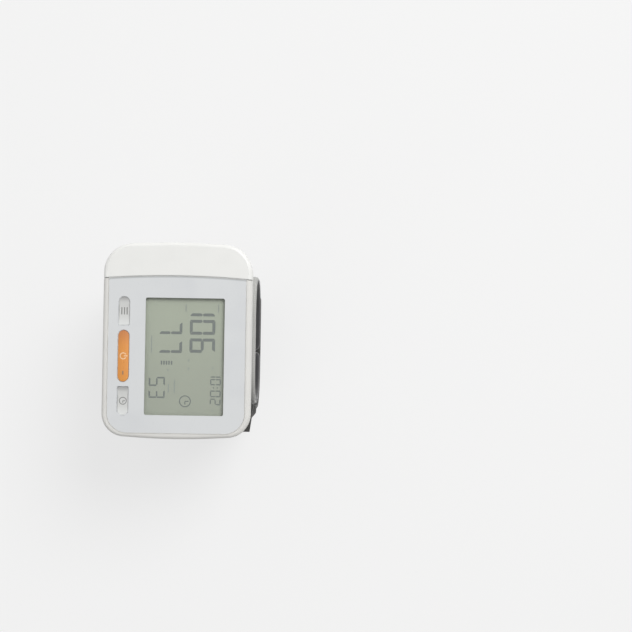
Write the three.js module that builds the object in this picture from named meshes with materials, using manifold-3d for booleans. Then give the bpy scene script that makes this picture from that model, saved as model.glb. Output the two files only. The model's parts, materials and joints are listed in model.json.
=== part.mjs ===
// Wrist blood pressure monitor, closed round a wrist-sized opening.
// Millimetres. +Z is the way the display faces, +X the reading direction of the digits and +Y their top.
// The origin is the middle of the flat underside of the strap, on which the monitor stands.
import * as THREE from "three";
import { mergeVertices } from "three/addons/utils/BufferGeometryUtils.js";
import Module from "manifold-3d";

const wasm = await Module();
wasm.setup();

// Clearance between pieces that touch, and how far a cutting solid runs past what it cuts.
const gap = 0.3;
const overrun = 1;

// Cells and their contacts
const cellRadius = 5.25;
const cellLength = 44.5;
const nubRadius = 1.9;
const nubLength = 0.9;
const contactRoom = 2.65;
const contactWallY = cellLength / 2 + contactRoom;
const contactWallThickness = 1.2;
const contactThickness = 0.4;
const contactWidth = 7;
const contactWire = 0.25;
const contactTurns = 3;

// Wrist opening, and the layers of the cuff from the wrist outwards
const openingBreadth = 54;
const openingHeight = 40;
const upperCornerRadius = 17;
const lowerCornerRadius = 13;
const liningThickness = 0.7;
const bladderThickness = 0.8;
const stiffenerThickness = 0.5;
const sleeveThickness = 0.6;
const bladderInner = liningThickness + gap;
const bladderOuter = bladderInner + bladderThickness;
const stiffenerInner = bladderOuter + gap;
const stiffenerOuter = stiffenerInner + stiffenerThickness;
const sleeveInner = stiffenerOuter + gap;
const cuffThickness = sleeveInner + sleeveThickness;

// Depth of the stack in the case, from its back to its face: the air pump, the circuit board and the display
const airLevel = 8;
const headSize = 10.4;
const pumpClearance = 0.8;
const boardThickness = 1.6;
const displayRoom = 8.4;
const faceThickness = 3;
const boardLevel = airLevel + headSize / 2 + pumpClearance;
const caseDepth = boardLevel + boardThickness + displayRoom + faceThickness;

// Case: as wide as a cell and its end walls need, and as long as the cuff and the room beyond it
const cellEndRoom = 8.8;
const caseOverhang = 10.65;
const caseLength = openingBreadth + 2 * (cuffThickness + caseOverhang);
const caseWidth = cellLength + 2 * cellEndRoom;
const caseWall = 1.8;
const rearHeight = 11;
const batteryEndRadius = 12.2;
const farEndRadius = 9.6;
const batteryEndBow = 0.6;
const farEndBow = 0.8;
const faceEdgeRadius = 1.6;
const innerEdgeRadius = 0.4;
const rearEdgeRadius = 3;
const backInset = 2.4;
const widestHeight = 21;
const batteryEnd = -caseLength / 2;
const farEnd = caseLength / 2;

// Battery cover, the seam between it and the front shell, and the bay for the cells
const coverLength = 13.95;
const coverSeamX = batteryEnd + coverLength;
const coverSeamBow = 1.4;
const coverSkirtLength = 11.1;
const coverSkirtX = batteryEnd + coverSkirtLength;
const coverSkirtDrop = 3.4;
const coverWall = 1.7;
const railHeight = 1.2;
const railReach = 1.5;
const railRise = 4;
const lipThickness = 1.5;
const cellRoom = 3.4;
const cellX = batteryEnd + coverWall + cellRoom + cellRadius;
const bulkheadRoom = 1.45;
const bulkheadX = cellX + cellRadius + bulkheadRoom;
const bulkheadThickness = 1.2;

// Front panel, window and buttons
const panelRim = 2.6;
const panelSideRim = 2.5;
const panelWidth = caseWidth - 2 * panelSideRim;
const panelCornerRadius = 8.2;
const panelThickness = 0.8;
const panelSink = 0.1;
const windowNearMargin = 9.35;
const windowFarMargin = 10;
const windowTopMargin = 8.75;
const windowFootMargin = 15.35;
const windowNearX = coverSeamX + windowNearMargin;
const windowFarX = farEnd - windowFarMargin;
const windowLength = windowFarX - windowNearX;
const windowWidth = panelWidth - windowTopMargin - windowFootMargin;
const windowX = (windowNearX + windowFarX) / 2;
const windowY = (windowFootMargin - windowTopMargin) / 2;
const windowCornerRadius = 0.8;
const lensThickness = 0.8;
const lensBorder = 1.3;
const apertureMargin = 0.5;
const buttonInset = 6.4;
const buttonY = buttonInset - panelWidth / 2;
const buttonWidth = 5;
const buttonPitchGap = 1.75;
const buttonOverhang = 0.4;
const startLength = 21.8;
const startX = windowX;
const memoryLength = windowLength / 2 + buttonOverhang - startLength / 2 - buttonPitchGap;
const setLength = memoryLength;
const buttonCrown = 0.5;
const buttonSink = 0.2;
const scoopDepth = 0.7;
const flangeLip = 0.55;
const flangeThickness = 1;
const buttonTravel = 0.6;
const stemLength = 1.5;
const stemRadius = 1.4;

// Circuit board and display
const boardNearRoom = 5.3;
const boardFarRoom = 7.1;
const boardSideRoom = 3.25;
const boardNearX = bulkheadX + boardNearRoom;
const boardFarX = farEnd - boardFarRoom;
const boardLength = boardFarX - boardNearX;
const boardWidth = caseWidth - 2 * boardSideRoom;
const boardX = (boardNearX + boardFarX) / 2;
const boardCornerRadius = 4;
const glassThickness = 1.8;
const glassMargin = 1.2;
const frameWall = 1;
const frameLedge = 1.5;
const zebraThickness = 1.8;
const zebraShare = 0.9;
const chipSize = 12;
const chipHeight = 1.4;
const chipX = 6;
const chipY = windowY;
const buzzerRadius = 4.5;
const buzzerHeight = 3;
const buzzerInset = 7.8;
const buzzerSideInset = 10.8;
const buzzerX = boardNearX + buzzerInset;
const buzzerY = boardWidth / 2 - buzzerSideInset;
const switchSize = 6;
const switchHeight = 3.5;
const plungerRadius = 1.6;

// Screws and bosses
const screwRadius = 1;
const screwHeadRadius = 2;
const screwHeadHeight = 1.4;
const screwLength = 12;
const bossRadius = 2.2;
const bossStandoff = 1.25;
const bossSideInset = 11.05;
const nearBossX = bulkheadX + bossStandoff;
const nearBossY = caseWidth / 2 - bossSideInset;
const tongueThickness = 1.5;
const tongueWidth = 24;
const tongueDepth = 4;
const countersinkDepth = 3;
const driveWidth = 0.6;
const driveLength = 2.4;
const driveDepth = 0.6;

// Air pump
const pumpEndRoom = 7.1;
const pumpSideRoom = 15.55;
const pumpEndX = farEnd - pumpEndRoom;
const pumpY = caseWidth / 2 - pumpSideRoom;
const motorRadius = 5;
const motorLength = 16;
const motorWall = 0.6;
const rotorRadius = 3.4;
const shaftRadius = 0.75;
const headLength = 11;
const headWall = 1.2;
const crankRadius = 3;
const crankThickness = 1.2;
const crankThrow = 1.6;
const crankPinLength = 2.4;
const bracketReach = 2.6;

// Release valve
const valveEndRoom = 21.5;
const valveSideRoom = 18.05;
const valveEndX = farEnd - valveEndRoom;
const valveY = valveSideRoom - caseWidth / 2;
const coilRadius = 4.2;
const coilLength = 8;
const coreRadius = 1.7;
const yokeThickness = 1;
const valveTravel = 0.8;
const springWire = 0.25;
const springRadius = 2.3;
const springTurns = 3;
const springPitch = 1.1;

// Air lines
const nippleRadius = 1.4;
const nippleLength = 3;
const boreRadius = 0.6;
const hoseRadius = 1.7;
const manifoldSize = 6;
const manifoldRoom = 12.1;
const manifoldX = bulkheadX + manifoldRoom;
const sensorSize = 7;
const sensorHeight = 3;
const sensorEndRoom = 32;
const sensorX = farEnd - sensorEndRoom;
const cuffNippleRise = 4.2;

// Cuff widths, each layer a margin inside the sleeve, and its free end
const cuffReach = 0.25;
const stiffenerMargin = 2.3;
const bladderMargin = 4.3;
const loopPadMargin = 5.3;
const cuffWidth = caseWidth + 2 * cuffReach;
const stiffenerWidth = cuffWidth - 2 * stiffenerMargin;
const bladderWidth = cuffWidth - 2 * bladderMargin;
const loopPadWidth = cuffWidth - 2 * loopPadMargin;
const loopPadDegrees = 54;
const padThickness = 0.6;
const freeEndX = 5.4;

// Strap and its pin
const strapThickness = 1.8;
const strapInset = 0.1;
const hookPadMargin = 6.2;
const pullTabMargin = 11.2;
const strapWidth = cuffWidth - 2 * strapInset;
const strapTailDegrees = 24;
const hookPadDegrees = 20;
const hookPadWidth = strapWidth - 2 * hookPadMargin;
const strapPadGap = 0.6;
const pullTabDegrees = 12;
const pullTabThickness = 2.4;
const pullTabWidth = strapWidth - 2 * pullTabMargin;
const pinRadius = 1.2;
const pinInset = 3.3;
const eyeWall = 1.1;

// Cradle between the case and the cuff
const cradleThickness = 2.4;
const cradleNearInset = 19.5;
const cradleFarInset = 7.1;
const cradleShoulderInset = 12.5;
const cradleWaistInset = 15.5;
const cradleNearX = batteryEnd + cradleNearInset;
const cradleEndX = farEnd - cradleFarInset;
const cradleShoulderX = farEnd - cradleShoulderInset;
const cradleWaistX = farEnd - cradleWaistInset;
const cradleShoulderMargin = 0.3;
const cradleWaistMargin = 3.3;
const cradleEndMargin = 2;
const cradleShoulderWidth = cuffWidth - 2 * cradleShoulderMargin;
const cradleWaistWidth = cuffWidth - 2 * cradleWaistMargin;
const cradleEndWidth = cuffWidth - 2 * cradleEndMargin;
const lugThickness = 3.3;
const eyeWidth = cradleEndWidth - 2 * (lugThickness + gap);
const cradleScrewX = 4;
const cradleScrewInset = 10;
const cradleScrewY = cradleWaistWidth / 2 - cradleScrewInset;
const cradleScrewLength = 3;

// How finely round shapes are drawn: segments in a full circle, or in one corner.
const roundSides = 24;
const smallSides = 12;
const cornerSteps = 10;
const bowSteps = 6;
const hoseSides = 8;
const curlSteps = 10;
const curlSides = 5;

// Levels of the stack, from the floor upwards, and places in the case's own frame
const hookPadTop = strapThickness + gap + padThickness;
const openingBottom = hookPadTop + gap + padThickness + gap + cuffThickness;
const openingMiddle = openingBottom + openingHeight / 2;
const openingTop = openingBottom + openingHeight;
const cradleBottom = openingTop + cuffThickness + gap;
const caseBase = cradleBottom + cradleThickness + gap;
const eyeRadius = pinRadius + gap + eyeWall;
const pinX = farEnd - pinInset;
const pinZ = caseBase - gap - eyeRadius;
const frontBottom = rearHeight + gap;
const faceInner = caseDepth - faceThickness;
const panelTop = caseDepth - panelSink;
const panelBottom = panelTop - panelThickness;
const recessFloor = panelBottom - gap;
const lensTop = panelBottom - gap;
const lensBottom = lensTop - lensThickness;
const glassTop = faceInner - gap;
const boardTop = boardLevel + boardThickness;
const partLevel = boardTop + gap;
const flangeTop = faceInner - gap;
const stemBottom = flangeTop - flangeThickness - stemLength;

// A closed geometry as a solid that can be joined and cut, and a solid as a geometry again.
function solidOf(geometry) {
  const bare = geometry.clone();
  bare.deleteAttribute("normal");
  bare.deleteAttribute("uv");
  const merged = mergeVertices(bare);
  const vertProperties = new Float32Array(merged.attributes.position.array);
  const triVerts = new Uint32Array(merged.index.array);
  return new wasm.Manifold(new wasm.Mesh({ numProp: 3, vertProperties, triVerts }));
}

function geometryOf(solid) {
  const mesh = solid.getMesh();
  const geometry = new THREE.BufferGeometry();
  geometry.setAttribute("position", new THREE.BufferAttribute(mesh.vertProperties, 3));
  geometry.setIndex(new THREE.BufferAttribute(mesh.triVerts, 1));
  geometry.computeVertexNormals();
  return geometry;
}

function join(first, ...others) {
  return others.reduce((sum, solid) => sum.add(solid), first);
}

function cut(first, ...others) {
  return others.reduce((rest, solid) => rest.subtract(solid), first);
}

function finish(color, roughness, metalness = 0) {
  return new THREE.MeshStandardMaterial({ color, roughness, metalness });
}

function piece(name, solid, material) {
  const mesh = new THREE.Mesh(geometryOf(solid), material);
  mesh.name = name;
  return mesh;
}

function groupAt(x, y, z, ...children) {
  const group = new THREE.Group();
  group.position.set(x, y, z);
  group.add(...children);
  return group;
}

const degree = Math.PI / 180;
const quarterTurn = 90 * degree;

// Plain solids: a block between two corners, and round bars along each axis.
function block([x0, y0, z0], [x1, y1, z1]) {
  const geometry = new THREE.BoxGeometry(x1 - x0, y1 - y0, z1 - z0);
  geometry.translate((x0 + x1) / 2, (y0 + y1) / 2, (z0 + z1) / 2);
  return solidOf(geometry);
}

function post(radius, z0, z1, x = 0, y = 0, sides = roundSides) {
  const geometry = new THREE.CylinderGeometry(radius, radius, z1 - z0, sides);
  geometry.rotateX(quarterTurn);
  geometry.translate(x, y, (z0 + z1) / 2);
  return solidOf(geometry);
}

function barAlongX(radius, x0, x1, y = 0, z = 0, sides = roundSides) {
  const geometry = new THREE.CylinderGeometry(radius, radius, x1 - x0, sides);
  geometry.rotateZ(quarterTurn);
  geometry.translate((x0 + x1) / 2, y, z);
  return solidOf(geometry);
}

function barAlongY(radius, y0, y1, x = 0, z = 0, sides = roundSides) {
  const geometry = new THREE.CylinderGeometry(radius, radius, y1 - y0, sides);
  geometry.translate(x, (y0 + y1) / 2, z);
  return solidOf(geometry);
}

// A flat outline given height, and an outline in the X-Z plane given width along Y.
function plate(shape, z0, z1) {
  const geometry = new THREE.ExtrudeGeometry(shape, {
    depth: z1 - z0,
    bevelEnabled: false,
    curveSegments: cornerSteps / 2,
  });
  geometry.translate(0, 0, z0);
  return solidOf(geometry);
}

function slab(shape, width) {
  const geometry = new THREE.ExtrudeGeometry(shape, { depth: width, bevelEnabled: false });
  geometry.rotateX(quarterTurn);
  geometry.translate(0, width / 2, 0);
  return solidOf(geometry);
}

function roundedShape(length, width, radius, x = 0, y = 0) {
  const shape = new THREE.Shape();
  const halfLength = length / 2 - radius;
  const halfWidth = width / 2 - radius;
  shape.absarc(x + halfLength, y - halfWidth, radius, -quarterTurn, 0);
  shape.absarc(x + halfLength, y + halfWidth, radius, 0, quarterTurn);
  shape.absarc(x - halfLength, y + halfWidth, radius, quarterTurn, 2 * quarterTurn);
  shape.absarc(x - halfLength, y - halfWidth, radius, 2 * quarterTurn, 3 * quarterTurn);
  return shape;
}

// A solid through rings of points, from the lowest to the highest, each counter-clockwise seen from above.
function loft(rings) {
  const count = rings[0].length;
  const positions = rings.flat().flatMap((point) => [point.x, point.y, point.z]);
  const indices = [];
  for (let level = 0; level + 1 < rings.length; level++) {
    for (let i = 0; i < count; i++) {
      const here = level * count + i;
      const next = level * count + ((i + 1) % count);
      indices.push(here, next, next + count, here, next + count, here + count);
    }
  }
  const top = (rings.length - 1) * count;
  for (const [a, b, c] of THREE.ShapeUtils.triangulateShape(rings[0], [])) {
    indices.push(c, b, a);
  }
  for (const [a, b, c] of THREE.ShapeUtils.triangulateShape(rings[rings.length - 1], [])) {
    indices.push(top + a, top + b, top + c);
  }
  const geometry = new THREE.BufferGeometry();
  geometry.setAttribute("position", new THREE.Float32BufferAttribute(positions, 3));
  geometry.setIndex(indices);
  return solidOf(geometry);
}

// A round tube along a path, with flat ends.
function tube(curve, radius, sides, steps) {
  const circle = new THREE.Shape();
  for (let i = 0; i < sides; i++) {
    const turn = (2 * Math.PI * i) / sides;
    const x = radius * Math.cos(turn);
    const y = radius * Math.sin(turn);
    if (i === 0) circle.moveTo(x, y);
    else circle.lineTo(x, y);
  }
  const geometry = new THREE.ExtrudeGeometry(circle, { extrudePath: curve, steps, bevelEnabled: false });
  return solidOf(geometry);
}

// A coil spring about +Z from height 0, whose radius runs from startRadius to endRadius.
function spring(startRadius, endRadius, wire, turns, pitch) {
  class Helix extends THREE.Curve {
    getPoint(t) {
      const turn = 2 * Math.PI * turns * t;
      const radius = startRadius + (endRadius - startRadius) * t;
      return new THREE.Vector3(radius * Math.cos(turn), radius * Math.sin(turn), pitch * turns * t);
    }
  }
  const helix = new Helix();
  console.log(`a spring's least gap to itself is ${leastGap(helix, wire, turns).toFixed(2)} mm`);
  return tube(helix, wire, curlSides, curlSteps * turns);
}

// The least gap between a coil's turns, measured between points at least half a turn apart.
function leastGap(curve, wire, turns) {
  const points = curve.getPoints(curlSteps * turns);
  const apart = curlSteps / 2;
  const gaps = points.flatMap((point, i) => points.slice(i + apart).map((other) => point.distanceTo(other)));
  return Math.min(...gaps) - 2 * wire;
}

// Case outline at an inset from the widest line, and the whole case as an outer or inner form.
function caseRing(inset, z) {
  const points = [];
  const halfWidth = caseWidth / 2 - inset;
  const corners = [
    { side: 1, radius: farEndRadius - inset, bow: farEndBow },
    { side: -1, radius: batteryEndRadius - inset, bow: batteryEndBow },
  ];
  for (const { side, radius, bow } of corners) {
    const end = caseLength / 2 - inset;
    const centreX = side * (end - bow - radius);
    const centreY = halfWidth - radius;
    const start = side > 0 ? -quarterTurn : quarterTurn;
    for (const half of [0, 1]) {
      for (let i = 0; i <= cornerSteps; i++) {
        const turn = start + (half + i / cornerSteps) * (quarterTurn);
        const y = side * (half ? centreY : -centreY);
        points.push(new THREE.Vector3(centreX + radius * Math.cos(turn), y + radius * Math.sin(turn), z));
      }
      if (half) continue;
      for (let i = 1; i < bowSteps; i++) {
        const across = (2 * i) / bowSteps - 1;
        points.push(new THREE.Vector3(side * (end - bow * across ** 2), side * across * centreY, z));
      }
    }
  }
  return points;
}

function sideInset(z) {
  return (backInset * Math.max(0, widestHeight - z)) / widestHeight;
}

function caseForm(shrink) {
  const rings = [];
  const steps = cornerSteps / 2;
  const faceRadius = Math.max(faceEdgeRadius, shrink + innerEdgeRadius);
  for (let i = 0; i <= steps; i++) {
    const turn = (quarterTurn * i) / steps;
    const z = rearEdgeRadius * (1 - Math.cos(turn));
    const inset = sideInset(z) + rearEdgeRadius * (1 - Math.sin(turn)) + shrink * Math.sin(turn);
    rings.push(caseRing(inset, z + shrink * Math.cos(turn)));
  }
  rings.push(caseRing(shrink, widestHeight));
  for (let i = 0; i <= steps; i++) {
    const turn = (quarterTurn * i) / steps;
    const drop = faceRadius * (1 - Math.sin(turn));
    const lower = shrink * Math.sin(turn);
    const inset = faceRadius * (1 - Math.cos(turn)) + shrink * Math.cos(turn);
    rings.push(caseRing(inset, caseDepth - drop - lower));
  }
  return loft(rings);
}

// Finishes of the pieces
const shellWhite = finish("#dcd9d2", 0.45);
const panelWhite = finish("#d8dada", 0.4);
const coverWhite = finish("#e9e8e6", 0.45);
const clearPlastic = finish("#c4cabc", 0.1);
const displayGround = finish("#a6ad98", 0.3);
const buttonGrey = finish("#d3d2d0", 0.5);
const buttonOrange = finish("#de9855", 0.4);
const innerGrey = finish("#8b8e90", 0.6);
const boardGreen = finish("#2f6b4a", 0.5);
const chipBlack = finish("#222326", 0.5);
const steel = finish("#b9bcc0", 0.35, 1);
const copper = finish("#b5713c", 0.4, 1);
const clearRubber = finish("#d9dad4", 0.5);
const cellBlue = finish("#3f5f86", 0.4, 0.5);
const cradleGrey = finish("#3f3e3b", 0.6);
const sleeveGrey = finish("#b5b5b3", 0.9);
const liningDark = finish("#34353a", 0.95);
const strapDark = finish("#403f3c", 0.9);
const padGrey = finish("#6f7073", 0.95);

// Half-spaces of the case, as blocks that run past it on every other side.
const reachX = caseLength / 2 + overrun;
const reachY = caseWidth / 2 + overrun;

function slice(z0, z1, x0 = -reachX, x1 = reachX) {
  return block([x0, -reachY, z0], [x1, reachY, z1]);
}

// Everything on the battery side of the bowed seam on the face, and of the straight seam on the sides.
function coverSide(offset) {
  const bowed = new THREE.Shape();
  bowed.moveTo(-reachX, -reachY);
  for (let i = 0; i <= 2 * cornerSteps; i++) {
    const across = i / cornerSteps - 1;
    bowed.lineTo(coverSeamX + offset + coverSeamBow * across ** 2, across * reachY);
  }
  bowed.lineTo(-reachX, reachY);
  const seamTop = caseDepth - coverSkirtDrop;
  const face = plate(bowed, seamTop - offset, caseDepth + overrun);
  return join(face, slice(-overrun, seamTop - offset + gap / 3, -reachX, coverSkirtX + offset));
}

const fullCase = caseForm(0);
const caseHollow = caseForm(caseWall).intersect(slice(-overrun, faceInner));
const bosses = [-nearBossY, nearBossY].map((y) => [nearBossX, y]);

// The panel's outline follows the case's far end and stops at the seam.
function panelForm(inset, z0, z1) {
  const halfWidth = panelWidth / 2 - inset;
  const farX = farEnd - panelRim - inset;
  const radius = panelCornerRadius - inset;
  const seamX = coverSeamX + gap + inset;
  const shape = new THREE.Shape();
  shape.absarc(farX - radius, radius - halfWidth, radius, -quarterTurn, 0);
  shape.absarc(farX - radius, halfWidth - radius, radius, 0, quarterTurn);
  for (let i = 0; i <= 2 * cornerSteps; i++) {
    const across = 1 - i / cornerSteps;
    const bow = coverSeamBow * (across * (halfWidth / reachY)) ** 2;
    shape.lineTo(seamX + bow, across * halfWidth);
  }
  return plate(shape, z0, z1);
}

const buttons = [
  { name: "memory", length: memoryLength, x: startX - (startLength + memoryLength) / 2 - buttonPitchGap },
  { name: "start", length: startLength, x: startX },
  { name: "set", length: setLength, x: startX + (startLength + setLength) / 2 + buttonPitchGap },
];

// A button's outline: both ends round on the long one, only the outer end round on the short ones.
function buttonShape({ name, length, x }, inset) {
  const radius = buttonWidth / 2 - inset;
  const innerRadius = radius / 4;
  const left = name === "set" ? innerRadius : radius;
  const right = name === "memory" ? innerRadius : radius;
  const x0 = x - length / 2 + inset;
  const x1 = x + length / 2 - inset;
  const y0 = buttonY - radius;
  const y1 = buttonY + radius;
  const shape = new THREE.Shape();
  shape.absarc(x1 - right, y0 + right, right, -quarterTurn, 0);
  shape.absarc(x1 - right, y1 - right, right, 0, quarterTurn);
  shape.absarc(x0 + left, y1 - left, left, quarterTurn, 2 * quarterTurn);
  shape.absarc(x0 + left, y0 + left, left, 2 * quarterTurn, 3 * quarterTurn);
  return shape;
}

function windowForm(margin, z0, z1) {
  const radius = windowCornerRadius + Math.max(0, margin);
  const shape = roundedShape(windowLength + 2 * margin, windowWidth + 2 * margin, radius, windowX, windowY);
  return plate(shape, z0, z1);
}

// Tongue on the far wall that hooks inside the rear shell's rim.
function shellTongue() {
  const inset = sideInset(rearHeight - tongueDepth) + caseWall + gap;
  const x1 = farEnd - farEndBow - inset;
  const x0 = x1 - tongueThickness;
  const half = tongueWidth / 2;
  const top = frontBottom + tongueThickness;
  const hook = block([x0, -half, rearHeight - tongueDepth], [x1, half, top]);
  const root = block([x0, -half, frontBottom], [reachX, half, top]);
  return join(hook, root).intersect(fullCase);
}

function frontShell() {
  const upper = fullCase.intersect(slice(frontBottom, caseDepth + overrun));
  const shell = cut(upper, caseHollow, coverSide(gap));
  const bulkhead = block(
    [bulkheadX - bulkheadThickness, caseWall - caseWidth / 2, frontBottom],
    [bulkheadX, caseWidth / 2 - caseWall, faceInner + gap],
  ).intersect(fullCase);
  const pillars = bosses.map(([x, y]) =>
    post(bossRadius, frontBottom, faceInner + gap, x, y, smallSides),
  );
  const lensPocket = windowForm(apertureMargin + lensBorder + gap, lensBottom - gap, caseDepth + overrun);
  const aperture = windowForm(apertureMargin, faceInner - overrun, caseDepth + overrun);
  const recess = panelForm(-gap, recessFloor, caseDepth + overrun);
  const slots = buttons.map((button) =>
    plate(buttonShape(button, 0), faceInner - overrun, caseDepth + overrun),
  );
  const screwHoles = bosses.map(([x, y]) =>
    post(screwRadius + gap, frontBottom - overrun, screwTip + gap, x, y, smallSides),
  );
  const cuts = [recess, lensPocket, aperture, ...slots, ...screwHoles];
  const body = cut(join(shell, bulkhead, shellTongue(), ...pillars), ...cuts);
  return piece("front_shell", body, shellWhite);
}

const screwSeat = screwHeadHeight + countersinkDepth;
const screwTip = screwSeat + screwLength;

function frontPanel() {
  const slots = buttons.map((button) => plate(buttonShape(button, 0), recessFloor, caseDepth + overrun));
  const opening = windowForm(0, recessFloor, caseDepth + overrun);
  return piece("front_panel", cut(panelForm(0, panelBottom, panelTop), opening, ...slots), panelWhite);
}

function displayLens() {
  return piece("display_lens", windowForm(apertureMargin + lensBorder, lensBottom, lensTop), clearPlastic);
}

// The rear shell carries the bosses, the cells' end walls, the board posts and the pump's saddle.
function rearShell() {
  const lower = fullCase.intersect(slice(-overrun, rearHeight));
  const shell = cut(lower, caseHollow);
  const inside = join(
    fullCase.intersect(slice(caseWall / 2, rearHeight)),
    caseForm(coverWall + gap).intersect(slice(rearHeight - gap, caseDepth)),
  );
  const pillars = bosses.map(([x, y]) =>
    post(bossRadius, caseWall / 2, rearHeight, x, y, smallSides),
  );
  const bulkhead = block(
    [bulkheadX - bulkheadThickness, caseWall - caseWidth / 2, caseWall / 2],
    [bulkheadX, caseWidth / 2 - caseWall, rearHeight],
  );
  const wallTop = caseDepth - coverWall - gap - railHeight;
  const endWalls = [-1, 1].map((side) => contactWall(side, wallTop));
  const boardPosts = [-1, 1].flatMap((end) =>
    [-1, 1].map((side) =>
      post(
        bossRadius / 2,
        caseWall / 2,
        boardLevel - gap,
        boardX + end * (boardLength / 2 - boardCornerRadius),
        side * (boardWidth / 2 - boardCornerRadius),
        smallSides,
      ),
    ),
  );
  const heads = bosses.flatMap(([x, y]) => [
    post(screwHeadRadius + gap, -overrun, screwSeat + gap, x, y, smallSides),
    post(screwRadius + gap, -overrun, rearHeight + overrun, x, y, smallSides),
  ]);
  const airHole = post(nippleRadius + gap, -overrun, caseWall + overrun, manifoldX, 0);
  const cradleHoles = cradleScrews.map(([x, y]) =>
    post(screwRadius + gap, -overrun, caseWall + overrun, x, y, smallSides),
  );
  const inner = join(bulkhead, ...pillars, ...endWalls, ...boardPosts).intersect(inside);
  return piece("rear_shell", cut(join(shell, inner), ...heads, airHole, ...cradleHoles), shellWhite);
}

const cradleScrews = [-cradleScrewY, cradleScrewY].map((y) => [cradleScrewX, y]);

// An end wall of the battery bay, with the rail outside it that guides the cover.
function contactWall(side, top) {
  const inner = contactWallY * side;
  const outer = (contactWallY + contactWallThickness) * side;
  const railEnd = (contactWallY + contactWallThickness + railReach) * side;
  const span = (a, b) => [Math.min(a, b), Math.max(a, b)];
  const [wall0, wall1] = span(inner, outer);
  const [rail0, rail1] = span(inner, railEnd);
  const x0 = cellX - cellRadius;
  const x1 = bulkheadX - bulkheadThickness - gap;
  const wall = block([x0, wall0, caseWall / 2], [x1, wall1, top]);
  const railZ = rearHeight + railRise;
  return join(wall, block([x0, rail0, railZ], [x1, rail1, railZ + railHeight]));
}

function batteryCover() {
  const upper = fullCase.intersect(slice(frontBottom, caseDepth + overrun));
  const hollow = caseForm(coverWall).intersect(slice(-overrun, caseDepth - coverWall));
  const outerCap = upper.intersect(coverSide(0));
  const innerSpace = hollow.intersect(slice(-overrun, caseDepth));
  const railZ = rearHeight + railRise;
  const lips = [-1, 1].map((side) => {
    const near = side * (contactWallY + contactWallThickness + gap);
    const far = side * (caseWidth / 2 - coverWall / 2);
    return block(
      [cellX - cellRadius, Math.min(near, far), railZ - gap - lipThickness],
      [coverSkirtX - gap, Math.max(near, far), railZ - gap],
    ).intersect(upper);
  });
  return piece("battery_cover", join(cut(outerCap, innerSpace), ...lips), coverWhite);
}

// Buttons: a crowned long one and two scooped short ones, each with a flange and a stem under it.
function buttonPiece(button) {
  const { name, length, x } = button;
  const isStart = name === "start";
  const top = panelTop - buttonSink + (isStart ? buttonCrown : 0);
  const body = plate(buttonShape(button, gap), flangeTop - overrun / 2, top);
  const flange = plate(buttonShape(button, -flangeLip), flangeTop - flangeThickness, flangeTop);
  const stem = post(stemRadius, stemBottom, flangeTop, x, buttonY, smallSides);
  const crown = isStart ? crownForm(length, x, top) : scoopForm(length, x, top);
  const shaped = isStart ? body.intersect(crown) : cut(body, crown);
  return piece(`${name}_button`, join(shaped, flange, stem), isStart ? buttonOrange : buttonGrey);
}

// A long lying cylinder whose top touches the crown's top, and one whose underside hollows the scoop.
function crownForm(length, x, top) {
  const radius = ((buttonWidth / 2) ** 2 + buttonCrown ** 2) / (2 * buttonCrown);
  const half = length / 2 + overrun;
  return barAlongX(radius, x - half, x + half, buttonY, top - radius, 4 * roundSides);
}

function scoopForm(length, x, top) {
  const radius = ((length / 2) ** 2 + scoopDepth ** 2) / (2 * scoopDepth);
  const half = buttonWidth / 2 + overrun;
  return barAlongY(radius, buttonY - half, buttonY + half, x, top - scoopDepth + radius, 4 * roundSides);
}

// Display: a frame on the board holds the glass under the window, and two elastomer strips connect it.
const glassLength = windowLength + 2 * glassMargin;
const glassWidth = windowWidth + 2 * glassMargin;
const glassBottom = glassTop - glassThickness;

function displayBlock(marginX, marginY, z0, z1) {
  return plate(
    roundedShape(glassLength + 2 * marginX, glassWidth + 2 * marginY, windowCornerRadius, windowX, windowY),
    z0,
    z1,
  );
}

function displayPieces() {
  const edge = gap + frameWall;
  const frame = cut(
    displayBlock(edge, edge, partLevel, glassTop),
    displayBlock(gap, gap, glassBottom - gap, glassTop + overrun),
    displayBlock(-frameLedge, -frameLedge, partLevel - overrun, glassTop),
  );
  const zebraLength = (glassLength - 2 * frameLedge) * zebraShare;
  const strips = [-1, 1].map((side, i) => {
    const y = windowY + side * (glassWidth / 2 - frameLedge - gap - zebraThickness / 2);
    const strip = block(
      [windowX - zebraLength / 2, y - zebraThickness / 2, partLevel],
      [windowX + zebraLength / 2, y + zebraThickness / 2, glassBottom - gap],
    );
    return piece(`zebra_strip_${i + 1}`, strip, chipBlack);
  });
  const glass = displayBlock(0, 0, glassBottom, glassTop);
  return [piece("display_frame", frame, innerGrey), piece("display_glass", glass, displayGround), ...strips];
}

// Circuit board with the parts soldered to it
function boardPieces() {
  const outline = roundedShape(boardLength, boardWidth, boardCornerRadius, boardX, 0);
  const board = plate(outline, boardLevel, boardTop);
  const chip = block(
    [chipX - chipSize / 2, chipY - chipSize / 2, partLevel],
    [chipX + chipSize / 2, chipY + chipSize / 2, partLevel + chipHeight],
  );
  const buzzer = post(buzzerRadius, boardLevel - gap - buzzerHeight, boardLevel - gap, buzzerX, buzzerY);
  const switches = buttons.flatMap(({ name, x }) => {
    const half = switchSize / 2;
    const top = partLevel + switchHeight;
    const well = top - plungerWell;
    const body = block([x - half, buttonY - half, partLevel], [x + half, buttonY + half, top]);
    const bore = post(plungerRadius + gap, well, top + overrun, x, buttonY, smallSides);
    return piece(`${name}_switch`, cut(body, bore), chipBlack);
  });
  return [
    piece("main_board", board, boardGreen),
    piece("controller_chip", chip, chipBlack),
    piece("buzzer", buzzer, chipBlack),
    ...switches,
  ];
}

const plungerWell = buttonTravel + 3 * gap;

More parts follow.
